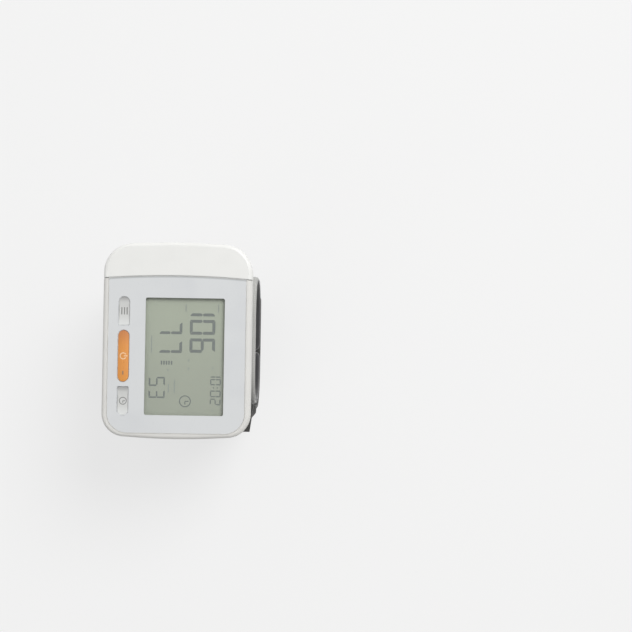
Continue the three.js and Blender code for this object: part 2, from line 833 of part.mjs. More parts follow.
function plungerPiece({ name, x }) {
  const floor = partLevel + switchHeight - plungerWell;
  const bottom = floor + buttonTravel + gap;
  const plunger = post(plungerRadius, bottom, stemBottom - gap, x, buttonY, smallSides);
  return piece(`${name}_plunger`, plunger, innerGrey);
}

// Two cells lie across the case, one above the other and head to tail, between sprung and plain contacts.
const cellLevels = [caseWall + gap + cellRadius, caseWall + 2 * gap + 3 * cellRadius];
const contactFace = contactWallY - gap - contactThickness;

function cellPiece(index) {
  const way = index === 0 ? -1 : 1;
  const tip = way * (contactFace - gap);
  const shoulder = tip - way * nubLength;
  const foot = tip - way * cellLength;
  const z = cellLevels[index];
  const span = (radius, a, b) => barAlongY(radius, Math.min(a, b), Math.max(a, b), cellX, z);
  const body = join(span(cellRadius, foot, shoulder), span(nubRadius, shoulder - way * overrun, tip));
  return piece(`cell_${index + 1}`, body, cellBlue);
}

function contactPlate(side, low, high) {
  const inner = side * contactFace;
  const outer = side * (contactWallY - gap);
  return block(
    [cellX - contactWidth / 2, Math.min(inner, outer), low],
    [cellX + contactWidth / 2, Math.max(inner, outer), high],
  );
}

function contactSpring(side, level) {
  const room = 2 * contactFace - 2 * gap - cellLength;
  const coil = spring(cellRadius / 2, cellRadius / 4, contactWire, contactTurns, room / contactTurns);
  const turned = coil.rotate([side * 90, 0, 0]);
  return turned.translate([cellX, side * (contactFace + contactWire / 2), level]);
}

function contactPieces() {
  const half = contactWidth / 2;
  const [low, high] = cellLevels;
  const bridge = join(contactPlate(1, low - half, high + half), contactSpring(1, low));
  const minus = join(contactPlate(-1, high - half, high + half), contactSpring(-1, high));
  const plus = contactPlate(-1, low - half, low + half);
  return [
    piece("bridge_contact", bridge, steel),
    piece("minus_contact", minus, steel),
    piece("plus_contact", plus, steel),
  ];
}

// Screws, each with a cross slot in its head
function screw(length) {
  const slot = (x, y) =>
    block([-x / 2, -y / 2, -screwHeadHeight - overrun], [x / 2, y / 2, driveDepth - screwHeadHeight]);
  const head = post(screwHeadRadius, -screwHeadHeight, 0, 0, 0, smallSides);
  const thread = post(screwRadius, -screwHeadHeight / 2, length, 0, 0, smallSides);
  return cut(join(head, thread), slot(driveLength, driveWidth), slot(driveWidth, driveLength));
}

function caseScrews() {
  return bosses.map(([x, y], i) =>
    groupAt(x, y, screwSeat, piece(`case_screw_${i + 1}`, screw(screwLength), steel)),
  );
}

// Air pump: a motor whose crank works a diaphragm in the pump head. The group's origin is the can's closed
// end, and the group is turned round so that the head and its outlet face the manifold.
function pumpPieces() {
  const can = cut(
    barAlongX(motorRadius, 0, motorLength),
    barAlongX(motorRadius - motorWall, motorWall, motorLength - motorWall),
    barAlongX(shaftRadius + gap, motorLength - 2 * motorWall, motorLength + overrun, 0, 0, smallSides),
  );
  const headX = motorLength + gap;
  const half = headSize / 2;
  const cavity = crankRadius + gap;
  const outletX = headX + headLength;
  const head = cut(
    join(block([headX, -half, -half], [outletX, half, half]), nipple(outletX)),
    barAlongX(cavity, headX - overrun, outletX - headWall - nippleRadius),
    barAlongX(boreRadius, headX + headLength / 2, outletX + nippleLength + overrun, 0, 0, smallSides),
  );
  const crankX = headX + headWall;
  const rotor = join(
    barAlongX(rotorRadius, motorWall + gap + overrun, motorLength - motorWall - gap - overrun),
    barAlongX(shaftRadius, motorWall + gap, crankX + crankThickness, 0, 0, smallSides),
    barAlongX(crankRadius, crankX, crankX + crankThickness),
    barAlongX(shaftRadius, crankX, crankX + crankThickness + crankPinLength, crankThrow, 0, smallSides),
  );
  const group = groupAt(
    pumpEndX,
    pumpY,
    airLevel,
    piece("pump_motor", can, steel),
    piece("pump_head", head, innerGrey),
    piece("pump_rotor", rotor, copper),
  );
  group.rotation.z = 2 * quarterTurn;
  return group;
}

// A hose nipple along +X from x, to be joined to its body.
function nipple(x) {
  return barAlongX(nippleRadius, x - nippleRadius, x + nippleLength, 0, 0, smallSides);
}

// The saddle under the pump motor rests on the rear shell's floor.
function pumpBracket() {
  const x0 = pumpEndX - (3 * motorLength) / 4;
  const x1 = pumpEndX - motorLength / 4;
  const half = motorRadius - gap;
  const saddle = block([x0, pumpY - half, caseWall + gap], [x1, pumpY + half, airLevel - bracketReach]);
  const trough = barAlongX(motorRadius + gap, x0 - overrun, x1 + overrun, pumpY, airLevel, 2 * roundSides);
  return piece("pump_bracket", cut(saddle, trough), innerGrey);
}

// Release valve: a coil in a yoke draws a sprung plunger off the nozzle. The group's origin is the coil's
// far end, and the group is turned round like the pump.
const springRoom = springPitch * springTurns + 2 * springWire;
const yokeEnd = coilLength + 2 * gap + springRoom + yokeThickness;
const nozzleX = yokeEnd + yokeThickness;

function valvePieces() {
  const coil = cut(
    barAlongX(coilRadius, 0, coilLength),
    barAlongX(coreRadius + gap, -overrun, coilLength + overrun, 0, 0, smallSides),
  );
  const half = coilRadius + gap;
  const yoke = cut(
    join(block([-gap - yokeThickness, -half, -half - yokeThickness], [nozzleX, half, half]), nipple(nozzleX)),
    block([-gap, -half - overrun, -half], [yokeEnd, half + overrun, half + overrun]),
    barAlongX(boreRadius, yokeEnd - overrun, nozzleX + nippleLength + overrun, 0, 0, smallSides),
    barAlongX(coreRadius + gap, -gap - yokeThickness - overrun, coilLength / 2, 0, 0, smallSides),
  );
  const headX = yokeEnd - gap - yokeThickness;
  const plunger = join(
    barAlongX(coreRadius, valveTravel, headX + yokeThickness / 2, 0, 0, smallSides),
    barAlongX(springRadius + gap, headX, headX + yokeThickness - gap / 2, 0, 0, smallSides),
  );
  const coilSpring = spring(springRadius, springRadius, springWire, springTurns, springPitch);
  const seated = coilSpring.rotate([0, 90, 0]).translate([coilLength + springWire + gap / 2, 0, 0]);
  const group = groupAt(
    valveEndX,
    valveY,
    airLevel,
    piece("valve_yoke", yoke, steel),
    piece("valve_coil", coil, copper),
    piece("valve_plunger", plunger, steel),
    piece("valve_spring", seated, steel),
  );
  group.rotation.z = 2 * quarterTurn;
  return group;
}

// Manifold on the floor: a bar with three nipples for the hoses, plugged onto the cuff's nipple from above.
const manifoldEnd = manifoldX + manifoldSize / 2;

function manifold() {
  const top = airLevel + nippleRadius + gap;
  const body = block(
    [manifoldX - manifoldSize / 2, valveY - manifoldSize / 2, caseWall + gap],
    [manifoldEnd, pumpY + manifoldSize / 2, top],
  );
  const ports = [valveY, 0, pumpY].map((y) => nipple(manifoldEnd).translate([0, y, airLevel]));
  const bores = [valveY, 0, pumpY].map((y) =>
    barAlongX(boreRadius, manifoldX, manifoldEnd + nippleLength + overrun, y, airLevel, smallSides),
  );
  const gallery = barAlongY(boreRadius, valveY, pumpY, manifoldX, airLevel, smallSides);
  const socket = post(nippleRadius + gap, caseWall, cuffNippleRise + gap, manifoldX, 0, smallSides);
  return piece("air_manifold", cut(join(body, ...ports), ...bores, gallery, socket), innerGrey);
}

// Pressure sensor under the board, with its nipple facing the manifold
const sensorLevel = boardLevel - gap - sensorHeight / 2;

function pressureSensor() {
  const half = sensorSize / 2;
  const body = block(
    [sensorX - half, -half, sensorLevel - sensorHeight / 2],
    [sensorX + half, half, sensorLevel + sensorHeight / 2],
  );
  const port = nipple(half).mirror([1, 0, 0]).translate([sensorX, 0, sensorLevel]);
  return piece("pressure_sensor", join(body, port), chipBlack);
}

// Hoses run from the manifold's nipples to the pump, the valve and the sensor.
function hose(name, y, endX, endZ) {
  const startX = manifoldEnd + nippleLength + gap;
  const lead = hoseRadius;
  const points = [
    [startX, y, airLevel],
    [startX + lead, y, airLevel],
    [endX - lead, y, endZ],
    [endX, y, endZ],
  ];
  const curve = new THREE.CatmullRomCurve3(points.map(([x, py, z]) => new THREE.Vector3(x, py, z)));
  return piece(name, tube(curve, hoseRadius, hoseSides, cornerSteps), clearRubber);
}

function hoses() {
  const pumpOutlet = pumpEndX - motorLength - headLength - nippleLength - 2 * gap;
  const valveOutlet = valveEndX - nozzleX - nippleLength - gap;
  const sensorPort = sensorX - sensorSize / 2 - nippleLength - gap;
  return [
    hose("pump_hose", pumpY, pumpOutlet, airLevel),
    hose("valve_hose", valveY, valveOutlet, airLevel),
    hose("sensor_hose", 0, sensorPort, sensorLevel),
  ];
}

// Corners and lines of the wrist opening at an offset outwards. The cuff's line runs from half-way up the
// +X side, up over the top, down the -X side and along the bottom to the free end.
function openingCorner(cx, cz, radius, from, to) {
  const points = [];
  for (let i = 0; i <= cornerSteps; i++) {
    const turn = from + ((to - from) * i) / cornerSteps;
    points.push(new THREE.Vector2(cx + radius * Math.cos(turn), cz + radius * Math.sin(turn)));
  }
  return points;
}

const halfBreadth = openingBreadth / 2;
const upperZ = openingTop - upperCornerRadius;
const lowerZ = openingBottom + lowerCornerRadius;
const upperX = halfBreadth - upperCornerRadius;
const lowerX = halfBreadth - lowerCornerRadius;
function cuffLine(offset) {
  return [
    new THREE.Vector2(halfBreadth + offset, openingMiddle),
    ...openingCorner(upperX, upperZ, upperCornerRadius + offset, 0, quarterTurn),
    ...openingCorner(-upperX, upperZ, upperCornerRadius + offset, quarterTurn, 2 * quarterTurn),
    ...openingCorner(-lowerX, lowerZ, lowerCornerRadius + offset, 2 * quarterTurn, 3 * quarterTurn),
    new THREE.Vector2(freeEndX, openingBottom - offset),
  ];
}

// A band between two lines of points that run the same way.
function bandBetween(inner, outer, width) {
  return slab(new THREE.Shape([...inner, ...outer.slice().reverse()]), width);
}

function cuffLayer(inner, outer, width) {
  return bandBetween(cuffLine(inner), cuffLine(outer), width);
}

function cuffPieces() {
  const bore = (radius) => post(radius + gap, openingTop - overrun, caseBase, manifoldX, 0, smallSides);
  const bladder = cut(cuffLayer(bladderInner, bladderOuter, bladderWidth), bore(boreRadius));
  const stiffener = cut(cuffLayer(stiffenerInner, stiffenerOuter, stiffenerWidth), bore(nippleRadius));
  const sleeve = cut(cuffLayer(sleeveInner, cuffThickness, cuffWidth), bore(nippleRadius));
  return [
    piece("cuff_lining", cuffLayer(0, liningThickness, cuffWidth), liningDark),
    piece("air_bladder", bladder, padGrey),
    piece("cuff_stiffener", stiffener, innerGrey),
    piece("cuff_sleeve", sleeve, sleeveGrey),
  ];
}

// The cuff's air nipple: a tube that rises from the bladder through the cradle into the manifold.
function cuffNipple() {
  const bottom = openingTop + bladderOuter + gap / 3;
  const tubeTop = caseBase + cuffNippleRise;
  const stem = post(nippleRadius, bottom, tubeTop, manifoldX, 0, smallSides);
  const bore = post(boreRadius, bottom - overrun, tubeTop + overrun, manifoldX, 0, smallSides);
  return piece("cuff_nipple", cut(stem, bore), innerGrey);
}

// Hook and loop: the loop pad is under the cuff's free end, the hook pad faces it on the strap.
function loopPad() {
  const inner = cuffThickness + gap;
  const loopStart = 3 * quarterTurn - loopPadDegrees * degree;
  const lines = [inner, inner + padThickness].map((offset) => [
    ...openingCorner(-lowerX, lowerZ, lowerCornerRadius + offset, loopStart, 3 * quarterTurn),
    new THREE.Vector2(freeEndX - gap, openingBottom - offset),
  ]);
  return piece("loop_pad", bandBetween(lines[0], lines[1], loopPadWidth), padGrey);
}

// Strap: its inner face runs from the pin down the +X side, round the lower corner, along the floor and up
// the tail.
const strapInnerX = halfBreadth + cuffThickness + gap;
const strapCornerRadius = lowerCornerRadius + cuffThickness + gap;
const strapCornerX = strapInnerX - strapCornerRadius;
const strapCornerZ = strapThickness + strapCornerRadius;
const tailX = -lowerX;
const tailRadius = lowerCornerRadius + openingBottom - strapThickness;

function strapRun(depth) {
  return [
    new THREE.Vector2(pinX + eyeRadius - strapThickness + depth, pinZ),
    new THREE.Vector2(strapInnerX + depth, upperZ),
    ...openingCorner(strapCornerX, strapCornerZ, strapCornerRadius + depth, 0, -quarterTurn),
    ...tailLine(depth, 0, strapTailDegrees),
  ];
}

// The tail curls up round the cuff's far lower corner, from one sweep in degrees to another.
function tailLine(depth, from, to) {
  const start = -quarterTurn - from * degree;
  return openingCorner(tailX, lowerZ, tailRadius + depth, start, -quarterTurn - to * degree);
}

function strapPieces() {
  const eye = barAlongY(eyeRadius, -eyeWidth / 2, eyeWidth / 2, pinX, pinZ);
  const lugRoom = [-1, 1].map((side) => {
    const near = (side * eyeWidth) / 2;
    const far = side * (strapWidth / 2 + overrun);
    return block(
      [pinX - 2 * eyeRadius, Math.min(near, far), pinZ - eyeRadius - 2 * gap],
      [pinX + 2 * eyeRadius, Math.max(near, far), caseBase],
    );
  });
  const band = cut(bandBetween(strapRun(0), strapRun(strapThickness), strapWidth), ...lugRoom);
  const pinBore = barAlongY(pinRadius + gap, -strapWidth, strapWidth, pinX, pinZ);
  const strap = cut(join(band, eye), pinBore);

  const padInner = [
    new THREE.Vector2(halfBreadth, openingMiddle - strapPadGap),
    ...openingCorner(lowerX, lowerZ, lowerCornerRadius, 0, -quarterTurn),
    new THREE.Vector2(freeEndX + strapPadGap, openingBottom),
  ];
  const padOuter = [
    new THREE.Vector2(strapInnerX - gap, openingMiddle - strapPadGap),
    ...openingCorner(strapCornerX, strapCornerZ, strapCornerRadius - gap, 0, -quarterTurn),
    new THREE.Vector2(freeEndX + strapPadGap, strapThickness + gap),
  ];
  const strapPad = bandBetween(padInner, padOuter, strapWidth);

  const hookLine = (depth) => [
    new THREE.Vector2(freeEndX, strapThickness - depth),
    ...tailLine(depth, 0, hookPadDegrees),
  ];
  const hookPad = bandBetween(hookLine(-gap - padThickness), hookLine(-gap), hookPadWidth);

  const tabStart = strapTailDegrees + gap / (tailRadius * degree);
  const tabEnd = tabStart + pullTabDegrees;
  const tabInner = tailLine((strapThickness - pullTabThickness) / 2, tabStart, tabEnd);
  const tabOuter = tailLine((strapThickness + pullTabThickness) / 2, tabStart, tabEnd);
  return [
    piece("strap", strap, strapDark),
    piece("strap_pad", strapPad, liningDark),
    piece("hook_pad", hookPad, padGrey),
    piece("pull_tab", bandBetween(tabInner, tabOuter, pullTabWidth), chipBlack),
  ];
}

// Cradle: a plate under the case with two lugs that hold the strap's pin.
function cradle() {
  const lugReach = pinX + eyeRadius;
  const outline = new THREE.Shape();
  const widths = [
    [cradleNearX, cradleWaistWidth],
    [cradleWaistX, cradleWaistWidth],
    [cradleShoulderX, cradleShoulderWidth],
    [lugReach, cradleEndWidth],
  ];
  outline.moveTo(cradleNearX, cradleWaistWidth / 2);
  widths.forEach(([x, width]) => outline.lineTo(x, -width / 2));
  widths.reverse().forEach(([x, width]) => outline.lineTo(x, width / 2));
  const flat = plate(outline, cradleBottom, cradleBottom + cradleThickness);
  const lugHalf = cradleEndWidth / 2;
  const lugs = [-1, 1].map((side) => {
    const near = side * (eyeWidth / 2 + gap);
    const far = side * lugHalf;
    const round = barAlongY(eyeRadius - gap, Math.min(near, far), Math.max(near, far), pinX, pinZ);
    const web = block(
      [pinX - eyeRadius + gap, Math.min(near, far), pinZ],
      [lugReach - gap, Math.max(near, far), cradleBottom + cradleThickness],
    );
    return join(round, web);
  });
  const room = block(
    [cradleEndX, -eyeWidth / 2 - gap, cradleBottom - overrun],
    [lugReach + overrun, eyeWidth / 2 + gap, caseBase],
  );
  const pinHole = barAlongY(pinRadius + gap, -cuffWidth, lugHalf - lugThickness / 2, pinX, pinZ);
  const airHole = post(nippleRadius + gap, cradleBottom - overrun, caseBase, manifoldX, 0);
  const seat = cradleBottom + screwHeadHeight;
  const holes = cradleScrews.flatMap(([x, y]) => [
    post(screwRadius + gap, cradleBottom, caseBase, x, y, smallSides),
    post(screwHeadRadius + gap, cradleBottom - overrun, seat + gap, x, y, smallSides),
  ]);
  return piece("cradle", cut(join(cut(flat, room), ...lugs), pinHole, airHole, ...holes), cradleGrey);
}

function strapPin() {
  const end = cradleEndWidth / 2;
  const pin = barAlongY(pinRadius, -end, end - lugThickness / 2 - gap, pinX, pinZ);
  return piece("strap_pin", pin, steel);
}

function cradleScrewPieces() {
  const level = cradleBottom + screwHeadHeight;
  return cradleScrews.map(([x, y], i) =>
    groupAt(x, y, level, piece(`cradle_screw_${i + 1}`, screw(cradleScrewLength), steel)),
  );
}

// The monitor: the case on its cradle, and the cuff and strap round the wrist opening below.
const monitor = new THREE.Group();
monitor.add(
  groupAt(
    0,
    0,
    caseBase,
    frontShell(),
    frontPanel(),
    displayLens(),
    rearShell(),
    batteryCover(),
    ...buttons.flatMap((button) => [buttonPiece(button), plungerPiece(button)]),
    ...displayPieces(),
    ...boardPieces(),
    cellPiece(0),
    cellPiece(1),
    ...contactPieces(),
    ...caseScrews(),
    pumpPieces(),
    pumpBracket(),
    valvePieces(),
    manifold(),
    pressureSensor(),
    ...hoses(),
  ),
  cradle(),
  strapPin(),
  ...cradleScrewPieces(),
  cuffNipple(),
  ...cuffPieces(),
  loopPad(),
  ...strapPieces(),
);

export default monitor;
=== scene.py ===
# Looks of a wrist blood pressure monitor, closed round a wrist-sized opening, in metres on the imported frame
import json
import math
from functools import cached_property

import bmesh
import bpy
from mathutils import Matrix, Vector

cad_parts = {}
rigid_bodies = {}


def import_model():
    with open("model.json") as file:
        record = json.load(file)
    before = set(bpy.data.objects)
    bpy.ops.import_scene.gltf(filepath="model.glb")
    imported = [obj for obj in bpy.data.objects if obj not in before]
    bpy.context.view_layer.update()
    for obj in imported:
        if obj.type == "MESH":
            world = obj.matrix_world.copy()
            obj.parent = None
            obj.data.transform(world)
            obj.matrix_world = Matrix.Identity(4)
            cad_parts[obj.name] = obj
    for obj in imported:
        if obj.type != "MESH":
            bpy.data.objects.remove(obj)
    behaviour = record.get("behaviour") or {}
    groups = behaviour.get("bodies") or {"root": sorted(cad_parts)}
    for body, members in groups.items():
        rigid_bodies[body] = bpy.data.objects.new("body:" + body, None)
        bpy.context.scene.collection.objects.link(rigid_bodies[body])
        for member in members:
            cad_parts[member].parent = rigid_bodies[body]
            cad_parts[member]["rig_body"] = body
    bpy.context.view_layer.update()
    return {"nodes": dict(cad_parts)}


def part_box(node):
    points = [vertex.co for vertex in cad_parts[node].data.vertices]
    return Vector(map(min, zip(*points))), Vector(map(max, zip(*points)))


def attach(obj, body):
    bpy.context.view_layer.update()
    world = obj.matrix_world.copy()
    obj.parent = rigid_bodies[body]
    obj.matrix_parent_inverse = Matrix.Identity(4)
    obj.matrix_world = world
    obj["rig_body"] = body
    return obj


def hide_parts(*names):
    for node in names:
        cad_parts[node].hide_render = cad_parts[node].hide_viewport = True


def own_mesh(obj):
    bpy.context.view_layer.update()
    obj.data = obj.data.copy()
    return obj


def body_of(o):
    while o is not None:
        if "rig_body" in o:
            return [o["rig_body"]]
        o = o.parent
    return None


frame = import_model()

nodes = frame["nodes"]
scene = bpy.context.scene

MM = 0.001
WELD = 1e-6
FLAT_ANGLE = math.radians(0.3)
SHARP_ANGLE = math.radians(32)
SOFTENED_STEPS = 3
FLAT_WEIGHT = 80

# Camera: the photograph's frame, its focal length in pixels, and where it stands and aims
PHOTO_SIDE = 632
FOCAL_PIXELS = 956
SENSOR = 36
CAMERA_PLACE = Vector((-5.59, 54.30, 480.11)) * MM
CAMERA_AIM = Vector((-11.24, 57.90, 80.9)) * MM
CAMERA_ROLL = math.radians(0.92)
CAMERA_NEAR = 0.01
CAMERA_FAR = 50

# Floor and light: sizes and places in metres
WHITE = (1, 1, 1, 1)
FLOOR_HALF = 4
FLOOR_GREY = (0.72, 0.72, 0.715, 1)
FLOOR_GLOW = 0.7
SKY_BRIGHT = 0.62
SKY_DIM = 0.24
LIT_PLACE = Vector((0, 0, 0.05))
KEY_PLACE = Vector((-0.82, 0.7, 1.4))
FILL_PLACE = Vector((0.9, -0.8, 1.1))

# Places that the CAD nodes give, in millimetres
def low(node, axis):
    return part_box(node)[0][axis] / MM


def high(node, axis):
    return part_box(node)[1][axis] / MM


def halfway(node, axis):
    return (low(node, axis) + high(node, axis)) / 2


WINDOW_X = halfway("display_glass", 0)
WINDOW_Y = halfway("display_glass", 1)
CELL_X = halfway("cell_1", 0)
CELL_BAND_LENGTH = 12
CELL_PLUS_LENGTH = 1.9
CELL_MINUS_LENGTH = 0.3
CELL_SEAM_HALF = 0.15
SEAM_GAP = 0.15
SEAM_X = low("front_panel", 0) - SEAM_GAP
SEAM_BOW = (high("battery_cover", 0) + SEAM_GAP - SEAM_X) / high("battery_cover", 1) ** 2
# How far the painted seam shade is moved from the seam towards the panel
PAINTED_SHADE_SHIFT = 0.2

# Colours, as linear light from their sRGB bytes
def paint(red, green, blue):
    def linear(byte):
        share = byte / 255
        return share / 12.92 if share <= 0.04045 else ((share + 0.055) / 1.055) ** 2.4

    return (linear(red), linear(green), linear(blue), 1)


SHELL_WHITE = paint(228, 227, 223)
COVER_WHITE = paint(243, 243, 240)
COVER_SHADE = paint(241, 241, 238)
# Painted shade along the seam between the cover and the panel
PAINTED_SEAM_SHADE = paint(176, 179, 179)
PANEL_WHITE = paint(224, 226, 227)
PANEL_SHADE = paint(219, 221, 223)
INNER_GREY = paint(196, 196, 192)
BUTTON_GREY = paint(218, 219, 217)
BUTTON_SHADE = paint(200, 200, 197)
# Painted shade and painted light in the side buttons' hollows
PAINTED_SCOOP_SHADE = paint(170, 170, 169)
PAINTED_SCOOP_LIGHT = paint(228, 230, 229)
ORANGE = paint(232, 156, 82)
# Painted shade at the start button's near end
PAINTED_ORANGE_SHADE = paint(208, 135, 84)
ORANGE_GOLD = paint(224, 150, 62)
PEACH = paint(250, 212, 172)
MARK_GREY = paint(112, 112, 110)
DISPLAY_SAGE = paint(171, 179, 157)
DISPLAY_WARM = paint(156, 162, 144)
DISPLAY_GRID = paint(120, 128, 116)
DIGIT_INK = paint(88, 97, 91)
FAINT_INK = paint(136, 144, 134)
DARK_PLASTIC = paint(62, 62, 60)
BLACK_PLASTIC = paint(30, 31, 32)
LENS_TINT = (0.9, 0.93, 0.92, 1)
SLEEVE_GREY = paint(196, 196, 193)
SLEEVE_SHADE = paint(166, 166, 163)
BINDING_GREY = paint(176, 176, 173)
LINING_DARK = paint(44, 44, 46)
LINING_LIGHT = paint(66, 66, 68)
STRAP_DARK = paint(58, 58, 57)
STRAP_LIGHT = paint(82, 82, 80)
THREAD_GREY = paint(120, 120, 118)
THREAD_DARK = paint(88, 88, 87)
STEEL = paint(186, 187, 188)
NICKEL = paint(204, 200, 190)
COPPER = paint(184, 115, 72)
BOARD_GREEN = paint(34, 86, 58)
BOARD_TRACE = paint(56, 116, 76)
SOLDER = paint(190, 190, 188)
CELL_BLUE = paint(66, 88, 112)
CELL_BAND = paint(206, 208, 210)
RUBBER_MILK = paint(206, 208, 204)
RUBBER_SHADE = paint(188, 190, 186)


# Nodes: each with its settings made first, then the values or links of its sockets
def feed(tree, socket, value):
    if isinstance(value, Value):
        value = value.socket
    if isinstance(value, bpy.types.NodeSocket):
        tree.links.new(value, socket)
    else:
        socket.default_value = value


def add_node(tree, kind, settings=None, inputs=None):
    made = tree.nodes.new(kind)
    for key, value in (settings or {}).items():
        setattr(made, key, value)
    for key, value in (inputs or {}).items():
        feed(tree, made.inputs[key], value)
    return made


# A number that changes over a surface, and the sums that are written with it
def sum_by(operation, swapped=False):
    def made(self, *others):
        terms = [self, *others]
        return self.worked(operation, *(reversed(terms) if swapped else terms))

    return made


class Value:
    def __init__(self, finish, socket):
        self.finish = finish
        self.socket = socket

    def worked(self, operation, *terms):
        inputs = dict(enumerate(terms))
        made = add_node(self.finish.tree, "ShaderNodeMath", {"operation": operation}, inputs)
        return Value(self.finish, made.outputs[0])

    __add__ = __radd__ = sum_by("ADD")
    __sub__ = sum_by("SUBTRACT")
    __rsub__ = sum_by("SUBTRACT", swapped=True)
    __mul__ = __rmul__ = sum_by("MULTIPLY")
    __pow__ = sum_by("POWER")
    __abs__ = sum_by("ABSOLUTE")
    __and__ = sum_by("MINIMUM")
    __or__ = sum_by("MAXIMUM")

    def wave(self, period):
        return self.worked("SINE", self * (2 * math.pi / period))

    def beyond(self, limit, blur):
        """0 below the limit and 1 above it, blurred over a short way."""
        return self.ramp(limit - blur / 2, limit + blur / 2)

    def within(self, limit, blur):
        return 1 - self.beyond(limit, blur)

    def ramp(self, start, end):
        inputs = {"Value": self, "From Min": start, "From Max": end}
        soft = {"interpolation_type": "SMOOTHSTEP"}
        made = add_node(self.finish.tree, "ShaderNodeMapRange", soft, inputs)
        return Value(self.finish, made.outputs[0])


# A material under way: its shader, and the few calls that add to it. Lengths are in millimetres.
class Finish:
    def __init__(self, name, colour, roughness, **constants):
        self.material = bpy.data.materials.new(name)
        self.material.use_nodes = True
        self.material.diffuse_color = colour
        self.tree = self.material.node_tree
        self.shader = self.tree.nodes["Principled BSDF"]
        self.set("Base Color", colour)
        self.set("Roughness", roughness)
        for key, value in constants.items():
            self.set(key.replace("_", " ").title().replace("Ior", "IOR"), value)

    def set(self, socket, value):
        feed(self.tree, self.shader.inputs[socket], value)

    @cached_property
    def place(self):
        """The point on the piece, in millimetres."""
        source = add_node(self.tree, "ShaderNodeTexCoord").outputs["Object"]
        terms = {0: source, "Scale": 1 / MM}
        return add_node(self.tree, "ShaderNodeVectorMath", {"operation": "SCALE"}, terms).outputs[0]

    @cached_property
    def cloth(self):
        """Where the point lies along and across the cloth, in millimetres, from its own UV map."""
        return add_node(self.tree, "ShaderNodeUVMap", {"uv_map": "cloth"}).outputs[0]

    def axes(self, source, count=2):
        split = add_node(self.tree, "ShaderNodeSeparateXYZ", {}, {0: source})
        return [Value(self, socket) for socket in split.outputs[:count]]

    def around(self, node):
        """X and Y on the piece in millimetres, from the middle of a node."""
        x, y = self.axes(self.place)
        return x - halfway(node, 0), y - halfway(node, 1)

    def noise(self, size, source=None, detail=2, stretch=None):
        """Soft random change from 0 to 1, whose spots are about size millimetres across."""
        source = source or self.place
        if stretch:
            stretched = {"operation": "MULTIPLY"}
            terms = {0: source, 1: stretch}
            source = add_node(self.tree, "ShaderNodeVectorMath", stretched, terms).outputs[0]
        inputs = {"Vector": source, "Scale": 1 / size, "Detail": detail}
        return Value(self, add_node(self.tree, "ShaderNodeTexNoise", {}, inputs).outputs["Fac"])

    def mix(self, mask, first, second):
        """The first colour where the mask is 0 and the second where it is 1."""
        shares = {0: mask, 6: first, 7: second}
        return add_node(self.tree, "ShaderNodeMix", {"data_type": "RGBA"}, shares).outputs[2]

    def surfaced(self, colour, roughness, height, depth):
        """Its colour and roughness, and its relief: a height from 0 to 1 and its depth in millimetres."""
        self.set("Base Color", colour)
        self.set("Roughness", roughness)
        inputs = {"Height": height, "Distance": depth * MM, "Strength": 1}
        self.set("Normal", add_node(self.tree, "ShaderNodeBump", {}, inputs).outputs[0])
        return self.material


# Camera, floor and light
def put(name, data):
    shown = bpy.data.objects.new(name, data)
    scene.collection.objects.link(shown)
    return shown


def look_at(place, aim, up):
    ahead = (aim - place).normalized()
    right = ahead.cross(up).normalized()
    turned = Matrix((right, right.cross(ahead), -ahead)).transposed().to_4x4()
    return Matrix.Translation(place) @ turned


def photo_camera():
    camera = put("photo_camera", bpy.data.cameras.new("photo_camera"))
    camera.data.sensor_width = SENSOR
    camera.data.lens = SENSOR * FOCAL_PIXELS / PHOTO_SIDE
    camera.data.clip_start = CAMERA_NEAR
    camera.data.clip_end = CAMERA_FAR
    up = Vector((-math.cos(CAMERA_ROLL), -math.sin(CAMERA_ROLL), 0))
    camera.matrix_world = look_at(CAMERA_PLACE, CAMERA_AIM, up)
    scene.camera = camera


def pale_floor():
    """A pale grey floor that glows a little to the eye, so that it looks nearly white."""
    finish = Finish("pale_floor", FLOOR_GREY, 0.9)
    tree = finish.tree
    rays = add_node(tree, "ShaderNodeLightPath").outputs
    seen = Value(finish, rays["Is Camera Ray"]) | Value(finish, rays["Is Glossy Ray"])
    tone = 0.98 + 0.02 * finish.noise(60, detail=1)
    finish.set("Roughness", 0.85 + 0.05 * finish.noise(4))
    glow = add_node(tree, "ShaderNodeEmission", {}, {"Color": WHITE, "Strength": 1})
    shares = {0: FLOOR_GLOW * seen * tone, 1: finish.shader.outputs[0], 2: glow.outputs[0]}
    blend = add_node(tree, "ShaderNodeMixShader", {}, shares)
    feed(tree, tree.nodes["Material Output"].inputs["Surface"], blend.outputs[0])
    shape = bmesh.new()
    bmesh.ops.create_grid(shape, x_segments=1, y_segments=1, size=FLOOR_HALF)
    put("pale_floor", into_mesh(shape, "pale_floor", finish.material))


def area_lamp(name, place, size, power):
    lamp = bpy.data.lights.new(name, "AREA")
    lamp.shape = "DISK"
    lamp.size = size
    lamp.energy = power
    put(name, lamp).matrix_world = look_at(place, LIT_PLACE, Vector((0, 1, 0.01)))


def studio_light():
    """A pale sky that is brighter past the battery end than past the foot, a key lamp and a weak fill."""
    world = bpy.data.worlds.new("studio")
    scene.world = world
    world.use_nodes = True
    tree = world.node_tree
    way = add_node(tree, "ShaderNodeTexCoord").outputs["Generated"]
    across = add_node(tree, "ShaderNodeSeparateXYZ", {}, {"Vector": way}).outputs["X"]
    levels = {"Value": across, "From Min": -1, "To Min": SKY_BRIGHT, "To Max": SKY_DIM}
    fade = add_node(tree, "ShaderNodeMapRange", {}, levels)
    sky = tree.nodes["Background"]
    feed(tree, sky.inputs["Color"], WHITE)
    feed(tree, sky.inputs["Strength"], fade.outputs["Result"])
    area_lamp("key", KEY_PLACE, size=0.9, power=18.1)
    area_lamp("fill", FILL_PLACE, size=1.2, power=1.6)
    scene.view_settings.view_transform = "Standard"


# Finishes of the moulded plastics
def toned(colour, share):
    return tuple(channel * share for channel in colour[:3]) + (1,)


